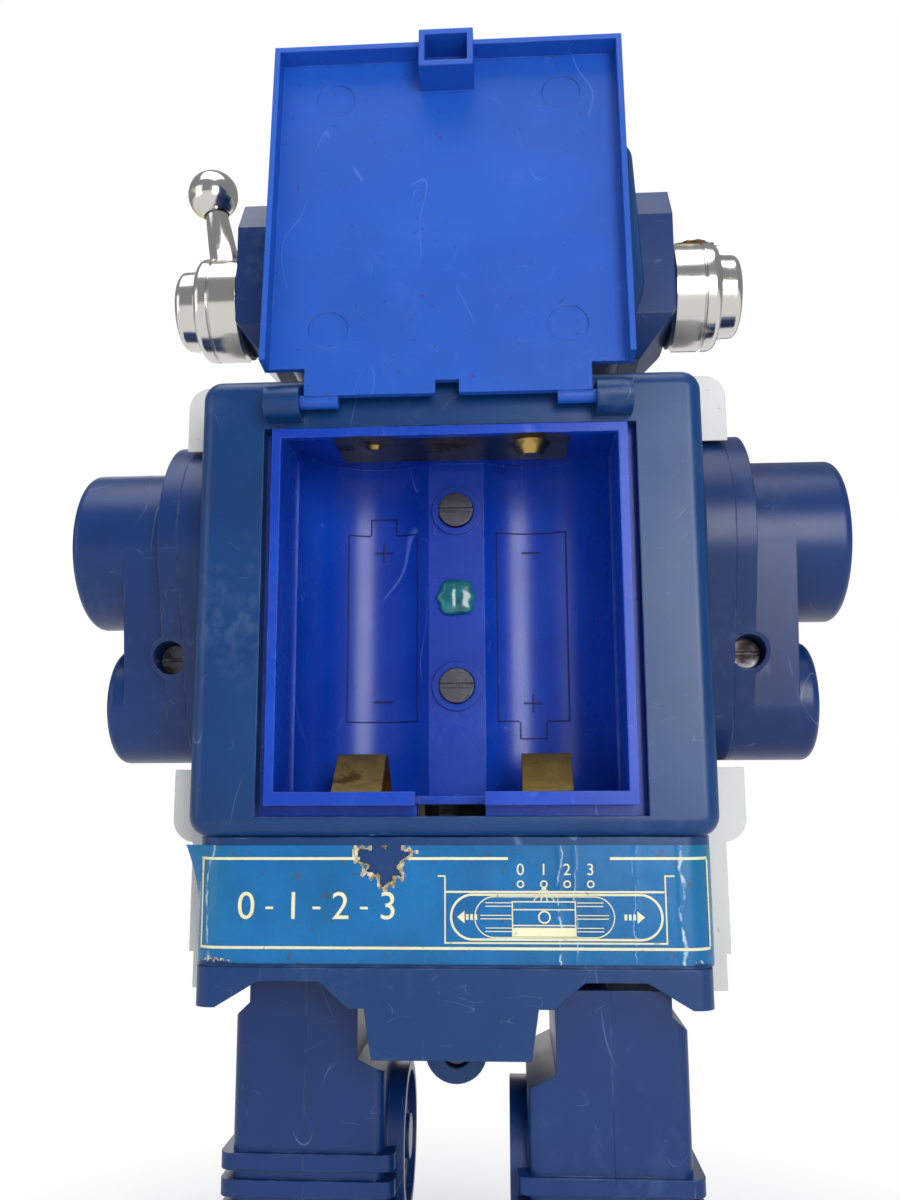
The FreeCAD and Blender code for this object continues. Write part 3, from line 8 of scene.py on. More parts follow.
import bmesh
import bpy
from mathutils import Matrix, Vector
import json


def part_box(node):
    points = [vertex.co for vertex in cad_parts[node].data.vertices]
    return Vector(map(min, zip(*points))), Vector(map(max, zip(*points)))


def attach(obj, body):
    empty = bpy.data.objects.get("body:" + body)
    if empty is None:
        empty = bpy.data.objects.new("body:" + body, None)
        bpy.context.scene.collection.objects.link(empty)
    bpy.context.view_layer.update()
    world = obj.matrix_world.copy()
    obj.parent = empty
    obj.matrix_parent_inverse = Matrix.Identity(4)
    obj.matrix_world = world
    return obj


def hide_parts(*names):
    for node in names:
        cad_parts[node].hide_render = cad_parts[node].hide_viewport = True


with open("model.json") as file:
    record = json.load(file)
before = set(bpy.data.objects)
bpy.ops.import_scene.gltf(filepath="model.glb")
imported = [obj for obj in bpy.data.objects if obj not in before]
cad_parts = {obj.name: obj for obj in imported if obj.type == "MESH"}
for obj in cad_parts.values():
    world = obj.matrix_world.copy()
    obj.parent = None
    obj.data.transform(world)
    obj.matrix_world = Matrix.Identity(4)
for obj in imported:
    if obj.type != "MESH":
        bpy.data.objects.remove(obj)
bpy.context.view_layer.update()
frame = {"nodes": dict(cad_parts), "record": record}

MM = 0.001
NODES = frame["nodes"]
SIDES = {"left": 1, "right": -1}


# ---------------------------------------------------------------- colours
def paint(red, green, blue):
    """A colour from its 0-255 display values."""
    channels = []
    for value in (red, green, blue):
        share = value / 255
        channels.append(share / 12.92 if share <= 0.04045 else ((share + 0.055) / 1.055) ** 2.4)
    return (*channels, 1.0)


# ---------------------------------------------------------------- shader helpers
def put(tree, kind, inputs=None, **settings):
    """Add a node; an input is linked when its value is a socket and set when it is plain."""
    node = tree.nodes.new("ShaderNode" + kind)
    for name, value in settings.items():
        setattr(node, name, value)
    for key, value in (inputs or {}).items():
        socket = node.inputs[key]
        if isinstance(value, bpy.types.NodeSocket):
            tree.links.new(value, socket)
        else:
            socket.default_value = value
    return node


def math_node(tree, operation, first, second=0.0, clamp=False):
    return put(tree, "Math", {0: first, 1: second}, operation=operation, use_clamp=clamp).outputs[0]


def remap(tree, value, low, high, to_low=0.0, to_high=1.0):
    return put(tree, "MapRange", {"Value": value, "From Min": low, "From Max": high, "To Min": to_low,
                                  "To Max": to_high}, clamp=True).outputs["Result"]


def noise(tree, vector, scale, detail=3.0, rough=0.55, distort=0.0):
    return put(tree, "TexNoise", {"Vector": vector, "Scale": scale, "Detail": detail, "Roughness": rough,
                                  "Distortion": distort}).outputs["Fac"]


def mix_colour(tree, share, first, second, blend="MIX"):
    node = put(tree, "Mix", data_type="RGBA", blend_type=blend)
    for socket, value in ((node.inputs[0], share), (node.inputs[6], first), (node.inputs[7], second)):
        if isinstance(value, bpy.types.NodeSocket):
            tree.links.new(value, socket)
        else:
            socket.default_value = value
    return node.outputs[2]


def new_group(name, inputs, outputs):
    group = bpy.data.node_groups.new(name, "ShaderNodeTree")
    for label, default in inputs:
        socket = group.interface.new_socket(name=label, in_out="INPUT", socket_type="NodeSocketFloat")
        socket.default_value = default
    for label, kind in outputs:
        group.interface.new_socket(name=label, in_out="OUTPUT", socket_type=kind)
    return group, group.nodes.new("NodeGroupInput"), group.nodes.new("NodeGroupOutput")


def hairlines(tree, vector, scale, turn, stretch, width, cover):
    """Thin curved scratches: contour lines of a stretched noise, kept only in patches."""
    placed = put(tree, "Mapping", {"Vector": vector, "Rotation": turn, "Scale": stretch}).outputs[0]
    field = noise(tree, placed, scale, 1.0, 0.5, 0.3)
    away = math_node(tree, "ABSOLUTE", math_node(tree, "SUBTRACT", field, 0.5))
    line = remap(tree, away, 0.0, width, 1.0, 0.0)
    patch = remap(tree, noise(tree, placed, scale * 1.7, 2.0), cover, cover + 0.06)
    return math_node(tree, "MULTIPLY", line, patch)


def build_wear_group():
    """Scratches, cloudy scuffs, grime and fine grain of a moulded plastic surface."""
    group, source, result = new_group(
        "moulded_wear",
        [("Scratches", 0.5), ("Scuffs", 0.5), ("Grime", 0.3)],
        [("Pale", "NodeSocketFloat"), ("Dirt", "NodeSocketFloat"), ("Gloss change", "NodeSocketFloat"),
         ("Height", "NodeSocketFloat")])
    place = put(group, "TexCoord").outputs["Object"]
    lines = hairlines(group, place, 55.0, (0.3, 0.5, 0.2), (1.0, 1.0, 0.35), 0.0035, 0.56)
    more = hairlines(group, place, 90.0, (1.1, -0.4, 0.9), (1.0, 0.3, 1.0), 0.0028, 0.60)
    fine = hairlines(group, place, 210.0, (-0.5, 0.2, 1.9), (0.4, 1.0, 1.0), 0.0040, 0.58)
    scratches = math_node(group, "MAXIMUM", math_node(group, "MAXIMUM", lines, more),
                          math_node(group, "MULTIPLY", fine, 0.6))
    scratches = math_node(group, "MULTIPLY", scratches, source.outputs["Scratches"])
    clouds = remap(group, noise(group, place, 38.0, 5.0, 0.62), 0.52, 0.78)
    rubbed = remap(group, noise(group, place, 420.0, 2.0, 0.6), 0.42, 0.66)
    scuffs = math_node(group, "MULTIPLY", math_node(group, "MULTIPLY", clouds, rubbed),
                       source.outputs["Scuffs"])
    pale = math_node(group, "MAXIMUM", scratches, math_node(group, "MULTIPLY", scuffs, 0.6), True)
    specks = remap(group, noise(group, place, 640.0, 1.0, 0.5), 0.735, 0.75)
    stains = remap(group, noise(group, place, 24.0, 4.0, 0.6), 0.56, 0.80)
    soiled = math_node(group, "MAXIMUM", specks, math_node(group, "MULTIPLY", stains, 0.5))
    dirt = math_node(group, "MULTIPLY", soiled, source.outputs["Grime"], True)
    gloss = math_node(group, "ADD", math_node(group, "MULTIPLY", scuffs, 0.6),
                      math_node(group, "MULTIPLY", noise(group, place, 90.0, 4.0), 0.12))
    grain = noise(group, place, 900.0, 2.0, 0.5)
    height = math_node(group, "SUBTRACT", math_node(group, "MULTIPLY", grain, 0.25),
                       math_node(group, "MULTIPLY", scratches, 0.8))
    for label, value in (("Pale", pale), ("Dirt", dirt), ("Gloss change", gloss), ("Height", height)):
        group.links.new(value, result.inputs[label])
    return group


def build_edge_group():
    """Softened edges for shading, and a mask of where those edges are."""
    group, source, result = new_group("soft_edges", [("Radius", 0.0004)],
                                      [("Normal", "NodeSocketVector"), ("Edge", "NodeSocketFloat")])
    soft = put(group, "Bevel", {"Radius": source.outputs["Radius"]}, samples=4).outputs["Normal"]
    flat = put(group, "NewGeometry").outputs["Normal"]
    bend = put(group, "VectorMath", {0: soft, 1: flat}, operation="DOT_PRODUCT").outputs["Value"]
    edge = remap(group, bend, 0.995, 0.86)
    group.links.new(soft, result.inputs["Normal"])
    group.links.new(edge, result.inputs["Edge"])
    return group


WEAR = build_wear_group()
EDGES = build_edge_group()


def place_group(tree, group, **values):
    node = tree.nodes.new("ShaderNodeGroup")
    node.node_tree = group
    for name, value in values.items():
        node.inputs[name.replace("_", " ")].default_value = value
    return node


def new_material(name):
    material = bpy.data.materials.new(name)
    material.use_nodes = True
    tree = material.node_tree
    return material, tree, tree.nodes["Principled BSDF"]


def plastic(name, colour, deep, roughness=0.28, scratches=0.5, scuffs=0.4, grime=0.25, pale=None, edge=0.35,
            coat=0.0, bump=0.12, soft=0.0004, cloud=26.0):
    """Moulded plastic: two close tones in slow clouds, pale scratches and rubbed edges, grime, fine grain."""
    material, tree, shader = new_material(name)
    wear = place_group(tree, WEAR, Scratches=scratches, Scuffs=scuffs, Grime=grime)
    edges = place_group(tree, EDGES, Radius=soft)
    place = put(tree, "TexCoord").outputs["Object"]
    tone = remap(tree, noise(tree, place, cloud, 3.0), 0.35, 0.68)
    base = mix_colour(tree, tone, deep, colour)
    worn = pale or paint(150, 170, 205)
    edge_share = math_node(tree, "MULTIPLY", edges.outputs["Edge"],
                           remap(tree, noise(tree, place, 160.0, 3.0), 0.45, 0.75, 0.0, edge))
    base = mix_colour(tree, edge_share, base, worn)
    base = mix_colour(tree, math_node(tree, "MULTIPLY", wear.outputs["Pale"], 0.55), base, worn)
    base = mix_colour(tree, math_node(tree, "MULTIPLY", wear.outputs["Dirt"], 0.75), base, paint(38, 30, 26))
    tree.links.new(base, shader.inputs["Base Color"])
    rough = math_node(tree, "ADD", wear.outputs["Gloss change"], roughness, True)
    tree.links.new(rough, shader.inputs["Roughness"])
    relief = put(tree, "Bump", {"Strength": bump, "Distance": 0.0002, "Height": wear.outputs["Height"],
                                "Normal": edges.outputs["Normal"]})
    tree.links.new(relief.outputs["Normal"], shader.inputs["Normal"])
    shader.inputs["Specular IOR Level"].default_value = 0.34
    shader.inputs["Coat Weight"].default_value = coat
    shader.inputs["Coat Roughness"].default_value = 0.12
    return material


def metal(name, colour, stain, roughness=0.25, stain_from=0.55, stain_rough=0.35, streak=1.0, stain_metal=1.0,
          stain_scale=70.0):
    """Metal or plating with brushed streaks and patches where the finish has tarnished or worn through."""
    material, tree, shader = new_material(name)
    edges = place_group(tree, EDGES, Radius=0.0003)
    place = put(tree, "TexCoord").outputs["Object"]
    patches = remap(tree, noise(tree, place, stain_scale, 5.0, 0.65, 0.4), stain_from, stain_from + 0.12)
    tree.links.new(mix_colour(tree, patches, colour, stain), shader.inputs["Base Color"])
    tree.links.new(remap(tree, patches, 0.0, 1.0, 1.0, stain_metal), shader.inputs["Metallic"])
    brushed = put(tree, "Mapping", {"Vector": place, "Scale": (1.0, 1.0, 12.0 * streak)}).outputs[0]
    lines = noise(tree, brushed, 220.0, 3.0)
    rough = math_node(tree, "ADD", math_node(tree, "MULTIPLY", lines, 0.12),
                      remap(tree, patches, 0.0, 1.0, roughness - 0.06, stain_rough))
    tree.links.new(rough, shader.inputs["Roughness"])
    relief = put(tree, "Bump", {"Strength": 0.08, "Distance": 0.0002, "Height": lines,
                                "Normal": edges.outputs["Normal"]})
    tree.links.new(relief.outputs["Normal"], shader.inputs["Normal"])
    return material


def printed_film():
    """Teal printed sticker with white creases, rubbed corners and a greenish tint at its ends."""
    material, tree, shader = new_material("label_film")
    place = put(tree, "TexCoord").outputs["Object"]
    split = put(tree, "SeparateXYZ", {"Vector": place})
    tone = remap(tree, noise(tree, place, 60.0, 3.0), 0.3, 0.7)
    base = mix_colour(tree, tone, paint(0, 86, 138), paint(0, 104, 164))
    ends = remap(tree, math_node(tree, "ABSOLUTE", split.outputs["X"]), 42 * MM, 52 * MM, 0.0, 0.55)
    mottled = math_node(tree, "MULTIPLY", ends, remap(tree, noise(tree, place, 90.0), 0.4, 0.6))
    base = mix_colour(tree, mottled, base, paint(18, 104, 110))
    drift = math_node(tree, "SUBTRACT", noise(tree, place, 130.0, 4.0), 0.5)
    wobble = math_node(tree, "MULTIPLY", drift, 6 * MM)
    across = math_node(tree, "ADD", split.outputs["X"], wobble)
    creases = None
    for line_x, width, strength in CREASES:
        away = math_node(tree, "ABSOLUTE", math_node(tree, "SUBTRACT", across, line_x * MM))
        line = remap(tree, away, 0.0, width * MM, strength, 0.0)
        creases = line if creases is None else math_node(tree, "MAXIMUM", creases, line)
    broken = remap(tree, noise(tree, place, 330.0, 3.0), 0.40, 0.58)
    creases = math_node(tree, "MULTIPLY", creases, broken)
    base = mix_colour(tree, creases, base, paint(205, 225, 230))
    specks = remap(tree, noise(tree, place, 520.0, 1.0), 0.71, 0.74)
    base = mix_colour(tree, math_node(tree, "MULTIPLY", specks, 0.5), base, paint(70, 60, 45))
    tree.links.new(base, shader.inputs["Base Color"])
    rough = remap(tree, noise(tree, place, 200.0, 3.0), 0.3, 0.7, 0.2, 0.36)
    tree.links.new(rough, shader.inputs["Roughness"])
    shader.inputs["Specular IOR Level"].default_value = 0.34
    relief = put(tree, "Bump", {"Strength": 0.35, "Distance": 0.0004,
                                "Height": math_node(tree, "ADD", creases, noise(tree, place, 45.0, 2.0))})
    tree.links.new(relief.outputs["Normal"], shader.inputs["Normal"])
    return material


def torn_paper():
    """Fibrous brown and cream backing that shows where the film is torn."""
    material, tree, shader = new_material("torn_backing")
    place = put(tree, "TexCoord").outputs["Object"]
    fibres = noise(tree, place, 700.0, 4.0, 0.7)
    base = mix_colour(tree, remap(tree, fibres, 0.35, 0.7), paint(120, 92, 58), paint(224, 214, 180))
    tree.links.new(base, shader.inputs["Base Color"])
    shader.inputs["Roughness"].default_value = 0.9
    relief = put(tree, "Bump", {"Strength": 0.6, "Distance": 0.0003, "Height": fibres})
    tree.links.new(relief.outputs["Normal"], shader.inputs["Normal"])
    return material


def clear_lens():
    """Clear amber plastic with small facets moulded in."""
    material, tree, shader = new_material("amber_lens")
    place = put(tree, "TexCoord").outputs["Object"]
    base = mix_colour(tree, noise(tree, place, 60.0), paint(220, 120, 20), paint(245, 160, 50))
    tree.links.new(base, shader.inputs["Base Color"])
    shader.inputs["Transmission Weight"].default_value = 0.7
    tree.links.new(remap(tree, noise(tree, place, 300.0), 0.3, 0.7, 0.04, 0.12), shader.inputs["Roughness"])
    facets = put(tree, "TexVoronoi", {"Vector": place, "Scale": 600.0}).outputs["Distance"]
    relief = put(tree, "Bump", {"Strength": 0.4, "Distance": 0.0004, "Height": facets})
    tree.links.new(relief.outputs["Normal"], shader.inputs["Normal"])
    return material


CREASES = ((-21.5, 0.25, 0.8), (-24.5, 0.2, 0.6), (-45.0, 0.45, 0.9), (48.6, 0.4, 0.7), (-36.5, 0.15, 0.4))

FINISH = {
    "blue_shell": plastic("blue_shell", paint(5, 56, 108), paint(3, 46, 95), 0.27, 0.6, 0.22, 0.35),
    "blue_arm": plastic("blue_arm", paint(9, 48, 104), paint(5, 38, 90), 0.28, 0.45, 0.30, 0.25),
    "lid_blue": plastic("lid_blue", paint(20, 80, 178), paint(16, 72, 164), 0.38, 0.4, 0.2, 0.5,
                        pale=paint(110, 150, 235)),
    "bay_blue": plastic("bay_blue", paint(11, 64, 174), paint(5, 47, 150), 0.22, 0.6, 0.25, 0.25,
                        pale=paint(120, 150, 235)),
    "grey_shell": plastic("grey_shell", paint(206, 208, 206), paint(194, 196, 194), 0.35, 0.3, 0.2, 0.3,
                          pale=paint(225, 225, 222), edge=0.1),
    "chrome_trim": metal("chrome_trim", paint(205, 203, 198), paint(206, 198, 140), 0.16, 0.60, 0.38, 0.3,
                         0.35),
    "brass_contact": metal("brass_contact", paint(176, 150, 84), paint(84, 66, 40), 0.30, 0.52, 0.5),
    # Screw steel is set dark and blue-grey: partly the screws' own colour, partly painted shade of the deep
    # screw holes and painted reflection of the surrounding blue.
    "screw_steel": metal("screw_steel", paint(92, 94, 104), paint(46, 40, 36), 0.26, 0.52, 0.5),
    "seal_lacquer": plastic("seal_lacquer", paint(10, 118, 128), paint(6, 84, 92), 0.12, 0.1, 0.1, 0.2,
                            pale=paint(90, 200, 200), coat=0.6, cloud=300.0),
    "label_sheet": printed_film(),
    "dark_panel": plastic("dark_panel", paint(38, 40, 46), paint(28, 30, 34), 0.42, 0.4, 0.3, 0.2,
                          pale=paint(110, 112, 118)),
    "red_knob": plastic("red_knob", paint(186, 34, 26), paint(160, 24, 20), 0.30, 0.4, 0.3, 0.2,
                        pale=paint(230, 130, 120)),
    "amber_lens": clear_lens(),
    "gear_white": plastic("gear_white", paint(222, 220, 206), paint(208, 204, 188), 0.45, 0.1, 0.1, 0.3,
                          pale=paint(236, 234, 224), edge=0.1),
    "motor_can": metal("motor_can", paint(168, 168, 166), paint(120, 112, 100), 0.30, 0.62, 0.5),
    "gearbox_plate": metal("gearbox_plate", paint(150, 150, 150), paint(112, 104, 94), 0.38, 0.60, 0.55),
    "rubber_sole": plastic("rubber_sole", paint(34, 34, 36), paint(24, 24, 26), 0.62, 0.2, 0.5, 0.5,
                           pale=paint(90, 90, 90), bump=0.4),
    "drill_metal": metal("drill_metal", paint(200, 198, 194), paint(150, 140, 110), 0.20, 0.62, 0.4),
    "neck_black": plastic("neck_black", paint(30, 31, 34), paint(22, 22, 25), 0.5, 0.2, 0.3, 0.3,
                          pale=paint(90, 90, 92)),
}
CREAM_INK = plastic("cream_ink", paint(226, 224, 190), paint(214, 210, 170), 0.4, 0.3, 0.2, 0.5,
                    pale=paint(120, 160, 170), edge=0.0)
TORN = torn_paper()
# Dark blue of the cell outline strips: painted shade of the engraved grooves in the bay, not the plastic's
# own colour.
GROOVE_SHADE = plastic("bay_groove_shade", paint(8, 20, 110), paint(5, 14, 90), 0.4, 0.1, 0.1, 0.1, edge=0.0)


def dress_frame():
    """Give every carried-over node the finish of its material slot."""
    slots = {part["node"]: part["material_slot"] for part in frame["record"]["subparts"]}
    for name, thing in NODES.items():
        thing.data.materials.clear()
        thing.data.materials.append(FINISH[slots[name]])


# ---------------------------------------------------------------- mesh helpers
def finish_piece(name, mesh, body, materials, smooth=True, angle=35):
    """Turn a bmesh into a piece that rides on a body."""
    data = bpy.data.meshes.new(name)
    mesh.to_mesh(data)
    mesh.free()
    for material in materials:
        data.materials.append(material)
    if smooth:
        data.polygons.foreach_set("use_smooth", [True] * len(data.polygons))
        data.set_sharp_from_angle(angle=math.radians(angle))
    piece = bpy.data.objects.new(name, data)
    bpy.context.scene.collection.objects.link(piece)
    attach(piece, body)
    return piece


def centre_of(node):
    low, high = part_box(node)
    return (low + high) / 2


# ---------------------------------------------------------------- label on the waist
LABEL_LOW, LABEL_HIGH = (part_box("waist_label")[index].z / MM for index in (0, 1))
LABEL_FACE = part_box("waist_label")[0].y / MM
CORNER_RADIUS = 6.0
FLAT_HALF = 46.0
LABEL_REACH = 53.6


def wrap_label(across, height, lift):
    """A place on the waist: flat behind, then round the corner; across runs along the surface, in mm."""
    side = 1 if across >= 0 else -1
    beyond = max(0.0, abs(across) - FLAT_HALF)
    radius = CORNER_RADIUS + lift
    turn = beyond / CORNER_RADIUS
    out = min(abs(across), FLAT_HALF) + radius * math.sin(turn)
    back = LABEL_FACE - CORNER_RADIUS + radius * math.cos(turn)
    return Vector((side * out * MM, back * MM, height * MM))


def label_lift(across, height):
    """How far the film stands off the shell: small ripples, crease ridges and the peeled corner."""
    lift = 0.12 + 0.03 * math.sin(across * 0.35) * math.sin(height * 0.5)
    for line, width, strength in CREASES:
        lift += 0.10 * strength * math.exp(-((across - line) / 0.5) ** 2)
    peel = max(0.0, (across - 50.6) + 0.35 * (height - 121.0))
    return lift + 0.30 * peel ** 1.6


def tear_depth(across, height):
    """Negative inside the torn hole, in mm from its ragged edge."""
    dx = across - 13.3
    dz = height - 121.4
    angle = math.atan2(dz, dx)
    edge = 4.2 + 0.9 * math.sin(3 * angle + 0.6) + 0.7 * math.sin(7 * angle) + 0.4 * math.sin(13 * angle + 2)
    return math.hypot(dx, dz * 1.15) - edge


def make_label_film():
    """The printed film, torn through at the top, nibbled along its foot and peeled at one corner."""
    mesh = bmesh.new()
    bmesh.ops.create_grid(mesh, x_segments=380, y_segments=96, size=0.5)
    gone = []
    for face in mesh.faces:
        middle = face.calc_center_median()
        across = middle.x * 2 * LABEL_REACH
        height = LABEL_LOW + (middle.y + 0.5) * (LABEL_HIGH - LABEL_LOW)
        depth = tear_depth(across, height)
        nibble = 0.9 * math.exp(-((across - 47.0) / 3.0) ** 2) + 0.5 * math.exp(-((across + 48.5) / 1.5) ** 2)
        nibble *= 0.6 + 0.4 * math.sin(across * 5.0)
        if depth < 0 or height < LABEL_LOW + nibble:
            gone.append(face)
            continue
        near_tear = depth < 1.1 + 0.6 * math.sin(across * 4.0)
        near_foot = height < LABEL_LOW + nibble + 0.35 * (nibble > 0.3)
        if near_tear or near_foot:
            face.material_index = 1
    bmesh.ops.delete(mesh, geom=gone, context="FACES")
    for vertex in mesh.verts:
        across = vertex.co.x * 2 * LABEL_REACH
        height = LABEL_LOW + (vertex.co.y + 0.5) * (LABEL_HIGH - LABEL_LOW)
        curl = max(0.0, 1.3 - tear_depth(across, height))
        vertex.co = wrap_label(across, height, label_lift(across, height) + 0.25 * curl ** 2)
    bmesh.ops.reverse_faces(mesh, faces=mesh.faces[:])
    bmesh.ops.solidify(mesh, geom=mesh.faces[:], thickness=0.06 * MM)
    bmesh.ops.recalc_face_normals(mesh, faces=mesh.faces[:])
    film = finish_piece("waist_label_film", mesh, "chassis", [FINISH["label_sheet"], TORN])
    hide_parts("waist_label")


def flat_bar(mesh, across, height):
    """A flat strip between two places each way, cut fine enough to follow the film."""
    steps = max(2, int(abs(across[1] - across[0]) / 1.0))
    made = bmesh.ops.create_grid(mesh, x_segments=steps, y_segments=2, size=0.5)
    move = Matrix.Translation(((across[0] + across[1]) / 2, (height[0] + height[1]) / 2, 0))
    grow = Matrix.Diagonal((across[1] - across[0], height[1] - height[0], 1, 1))
    bmesh.ops.transform(mesh, matrix=move @ grow, verts=made["verts"])


def flat_ring(mesh, centre, radius, half_run, line, segments=40):
    """A ring of even line width, drawn out sideways into a racetrack when half_run is set."""
    pairs = []
    for index in range(segments):
        angle = 2 * math.pi * (index + 0.5) / segments
        shift = centre[0] + math.copysign(half_run, math.cos(angle))
        pairs.append([
            mesh.verts.new((shift + reach * math.cos(angle), centre[1] + reach * math.sin(angle), 0))
            for reach in (radius, radius - line)])
    for (outer, inner), (next_outer, next_inner) in zip(pairs, pairs[1:] + pairs[:1]):
        mesh.faces.new((outer, next_outer, next_inner, inner))


def flat_arrow(mesh, tip, direction, size):
    """A solid arrow head with three short bars behind it."""
    head = [(tip[0], tip[1]), (tip[0] - direction * size, tip[1] + size * 0.8),
            (tip[0] - direction * size, tip[1] - size * 0.8)]
    mesh.faces.new([mesh.verts.new((x, z, 0)) for x, z in head])
    for index in range(3):
        start = tip[0] - direction * (size + 0.25 + index * 0.85)
        span = sorted((start, start - direction * 0.55))
        flat_bar(mesh, span, (tip[1] - 0.55, tip[1] + 0.55))


def flat_number(mesh, text, centre, size):
    """A plain numeral laid in the same flat plane as the other marks."""
    curve = bpy.data.curves.new("numeral", "FONT")
    curve.body = text
    curve.size = size
    curve.align_x = "CENTER"
    curve.align_y = "CENTER"
    holder = bpy.data.objects.new("numeral", curve)
    bpy.context.scene.collection.objects.link(holder)
    data = bpy.data.meshes.new_from_object(holder.evaluated_get(bpy.context.evaluated_depsgraph_get()))
    # seen from behind, the row's +X points left, so the numeral is mirrored to read the right way
    data.transform(Matrix.Translation((centre[0], centre[1], 0)) @ Matrix.Diagonal((-1, 1, 1, 1)))
    mesh.from_mesh(data)
    bpy.data.meshes.remove(data)
    bpy.data.objects.remove(holder)
    bpy.data.curves.remove(curve)


def make_label_print():
    """Border lines, a plan of the front switch and plain numerals, in cream ink just above the film."""
    mesh = bmesh.new()
    top, low, line = 122.1, 104.9, 0.55
    flat_bar(mesh, (18.2, 51.0), (top - line, top))
    flat_bar(mesh, (-11.4, 8.4), (top - line, top))
    flat_bar(mesh, (-51.2, -31.5), (top - line, top))
    flat_bar(mesh, (-51.2, 51.0), (low - line, low))
    for place in (50.7, -51.2):
        flat_bar(mesh, (place - line / 2, place + line / 2), (low, top - line))
    plan_x, plan_z, knob_x = -20.7, 110.6, -18.4
    plate_right, plate_left, plate_low, lip = -42.3, 1.3, 105.5, (118.3, 118.6)
    flat_bar(mesh, (plate_right, plate_left), (115.2, 115.6))
    flat_bar(mesh, (plate_right, plate_left), (plate_low, 105.85))
    for place in (plate_right, 1.0):
        flat_bar(mesh, (place, place + 0.3), (plate_low, lip[1]))
    flat_bar(mesh, (1.0, 2.6), lip)
    flat_bar(mesh, (-44.0, plate_right), lip)
    flat_ring(mesh, (plan_x, plan_z), 4.5, 16.4, 0.45)
    flat_ring(mesh, (knob_x, plan_z), 4.0, 9.8, 0.22)
    for side in (1, -1):
        for offset, reach in ((2.4, 11.6), (0.0, 12.6), (-2.4, 11.6)):
            span = sorted((knob_x + side * 6.4, knob_x + side * reach))
            flat_bar(mesh, span, (plan_z + offset - 0.42, plan_z + offset - 0.24))
            flat_bar(mesh, span, (plan_z + offset + 0.24, plan_z + offset + 0.42))
    flat_arrow(mesh, (-1.2, plan_z), 1, 1.5)
    flat_arrow(mesh, (-38.0, plan_z), -1, 1.5)
    slider = ((-24.6, -12.0), (106.9, 113.6))
    flat_bar(mesh, slider[0], (slider[1][0], 108.6))
    for height in (108.9, 111.9, 113.4):
        flat_bar(mesh, slider[0], (height, height + 0.25))
    for place in (slider[0][0], slider[0][1] - 0.25):
        flat_bar(mesh, (place, place + 0.25), slider[1])
    flat_ring(mesh, (knob_x, plan_z), 1.25, 0.0, 0.3)
    for index, place in enumerate((-13.8, knob_x, -23.0, -27.6)):
        flat_ring(mesh, (place, 116.9), 0.75, 0.0, 0.28, 24)
        flat_number(mesh, str(index), (place, 119.6), 3.2)
    for lean in (-1.9, -0.6, 0.6, 1.9):
        steps = 6
        for step in range(steps):
            share = step / steps
            flat_bar(mesh, (knob_x + lean * (1 - share) - 0.12, knob_x + lean * (1 - share) + 0.12),
                     (113.7 + 2.5 * share, 113.7 + 2.5 * (share + 1 / steps)))
    first_numeral, numeral_pitch = 41.0, 9.5
    for index, text in enumerate("0123"):
        place = first_numeral - index * numeral_pitch
        flat_number(mesh, text, (place, 112.4), 7.6)
        if index:
            flat_bar(mesh, (place + 4.0, place + 5.6), (112.0, 112.5))
    for vertex in mesh.verts:
        across, height = vertex.co.x, vertex.co.y
        vertex.co = wrap_label(across, height, label_lift(across, height) + 0.09)
    bmesh.ops.recalc_face_normals(mesh, faces=mesh.faces[:])
    rear = [face for face in mesh.faces if face.normal.y < 0]
    bmesh.ops.reverse_faces(mesh, faces=rear)
    bmesh.ops.solidify(mesh, geom=mesh.faces[:], thickness=0.02 * MM)
    finish_piece("waist_label_print", mesh, "chassis", [CREAM_INK], smooth=False)


# ---------------------------------------------------------------- battery bay marks
CHANNEL_AXIS_Y = 34.5
CHANNEL_RADIUS = 17.4
CHANNEL_X = 17.6
CELL_MIDDLE = 173.0


def make_cell_marks():
    """Outline of a cell with plus and minus, raised in the bottom of each channel; its dark blue is painted
    shade standing in for the shade inside engraved grooves.
    """
    mesh = bmesh.new()
    for side in SIDES.values():
        up = 1 if side > 0 else -1
        first = len(mesh.verts)
        half, tall, nub_half, line = 8.4, 22.5, 3.2, 0.35
        flat_bar(mesh, (-half, half), (-tall, -tall + line))
        for span in ((-half, -nub_half), (nub_half, half)):
            flat_bar(mesh, span, (tall - line, tall))
        for place in (-half, half - line):
            flat_bar(mesh, (place, place + line), (-tall, tall))
        for place in (-nub_half, nub_half - line):
            flat_bar(mesh, (place, place + line), (tall, tall + 4.0))
        flat_bar(mesh, (-nub_half, nub_half), (tall + 4.0 - line, tall + 4.0))
        flat_bar(mesh, (-2.2, 2.2), (tall - 4.6, tall - 4.1))
        flat_bar(mesh, (-0.25, 0.25), (tall - 6.5, tall - 2.2))
        flat_bar(mesh, (-2.2, 2.2), (-tall + 4.6, -tall + 5.1))
        mesh.verts.ensure_lookup_table()
        for vertex in mesh.verts[first:]:
            across, height = vertex.co.x, up * vertex.co.y
            deep = math.sqrt(CHANNEL_RADIUS ** 2 - across ** 2) - 0.06
            vertex.co = Vector(((side * CHANNEL_X + across) * MM, (CHANNEL_AXIS_Y - deep) * MM,
                                (CELL_MIDDLE + height) * MM))
    bmesh.ops.recalc_face_normals(mesh, faces=mesh.faces[:])
    bmesh.ops.reverse_faces(mesh, faces=[face for face in mesh.faces if face.normal.y < 0])
    bmesh.ops.solidify(mesh, geom=mesh.faces[:], thickness=0.12 * MM)
    finish_piece("cell_marks", mesh, "chassis", [GROOVE_SHADE], smooth=False)


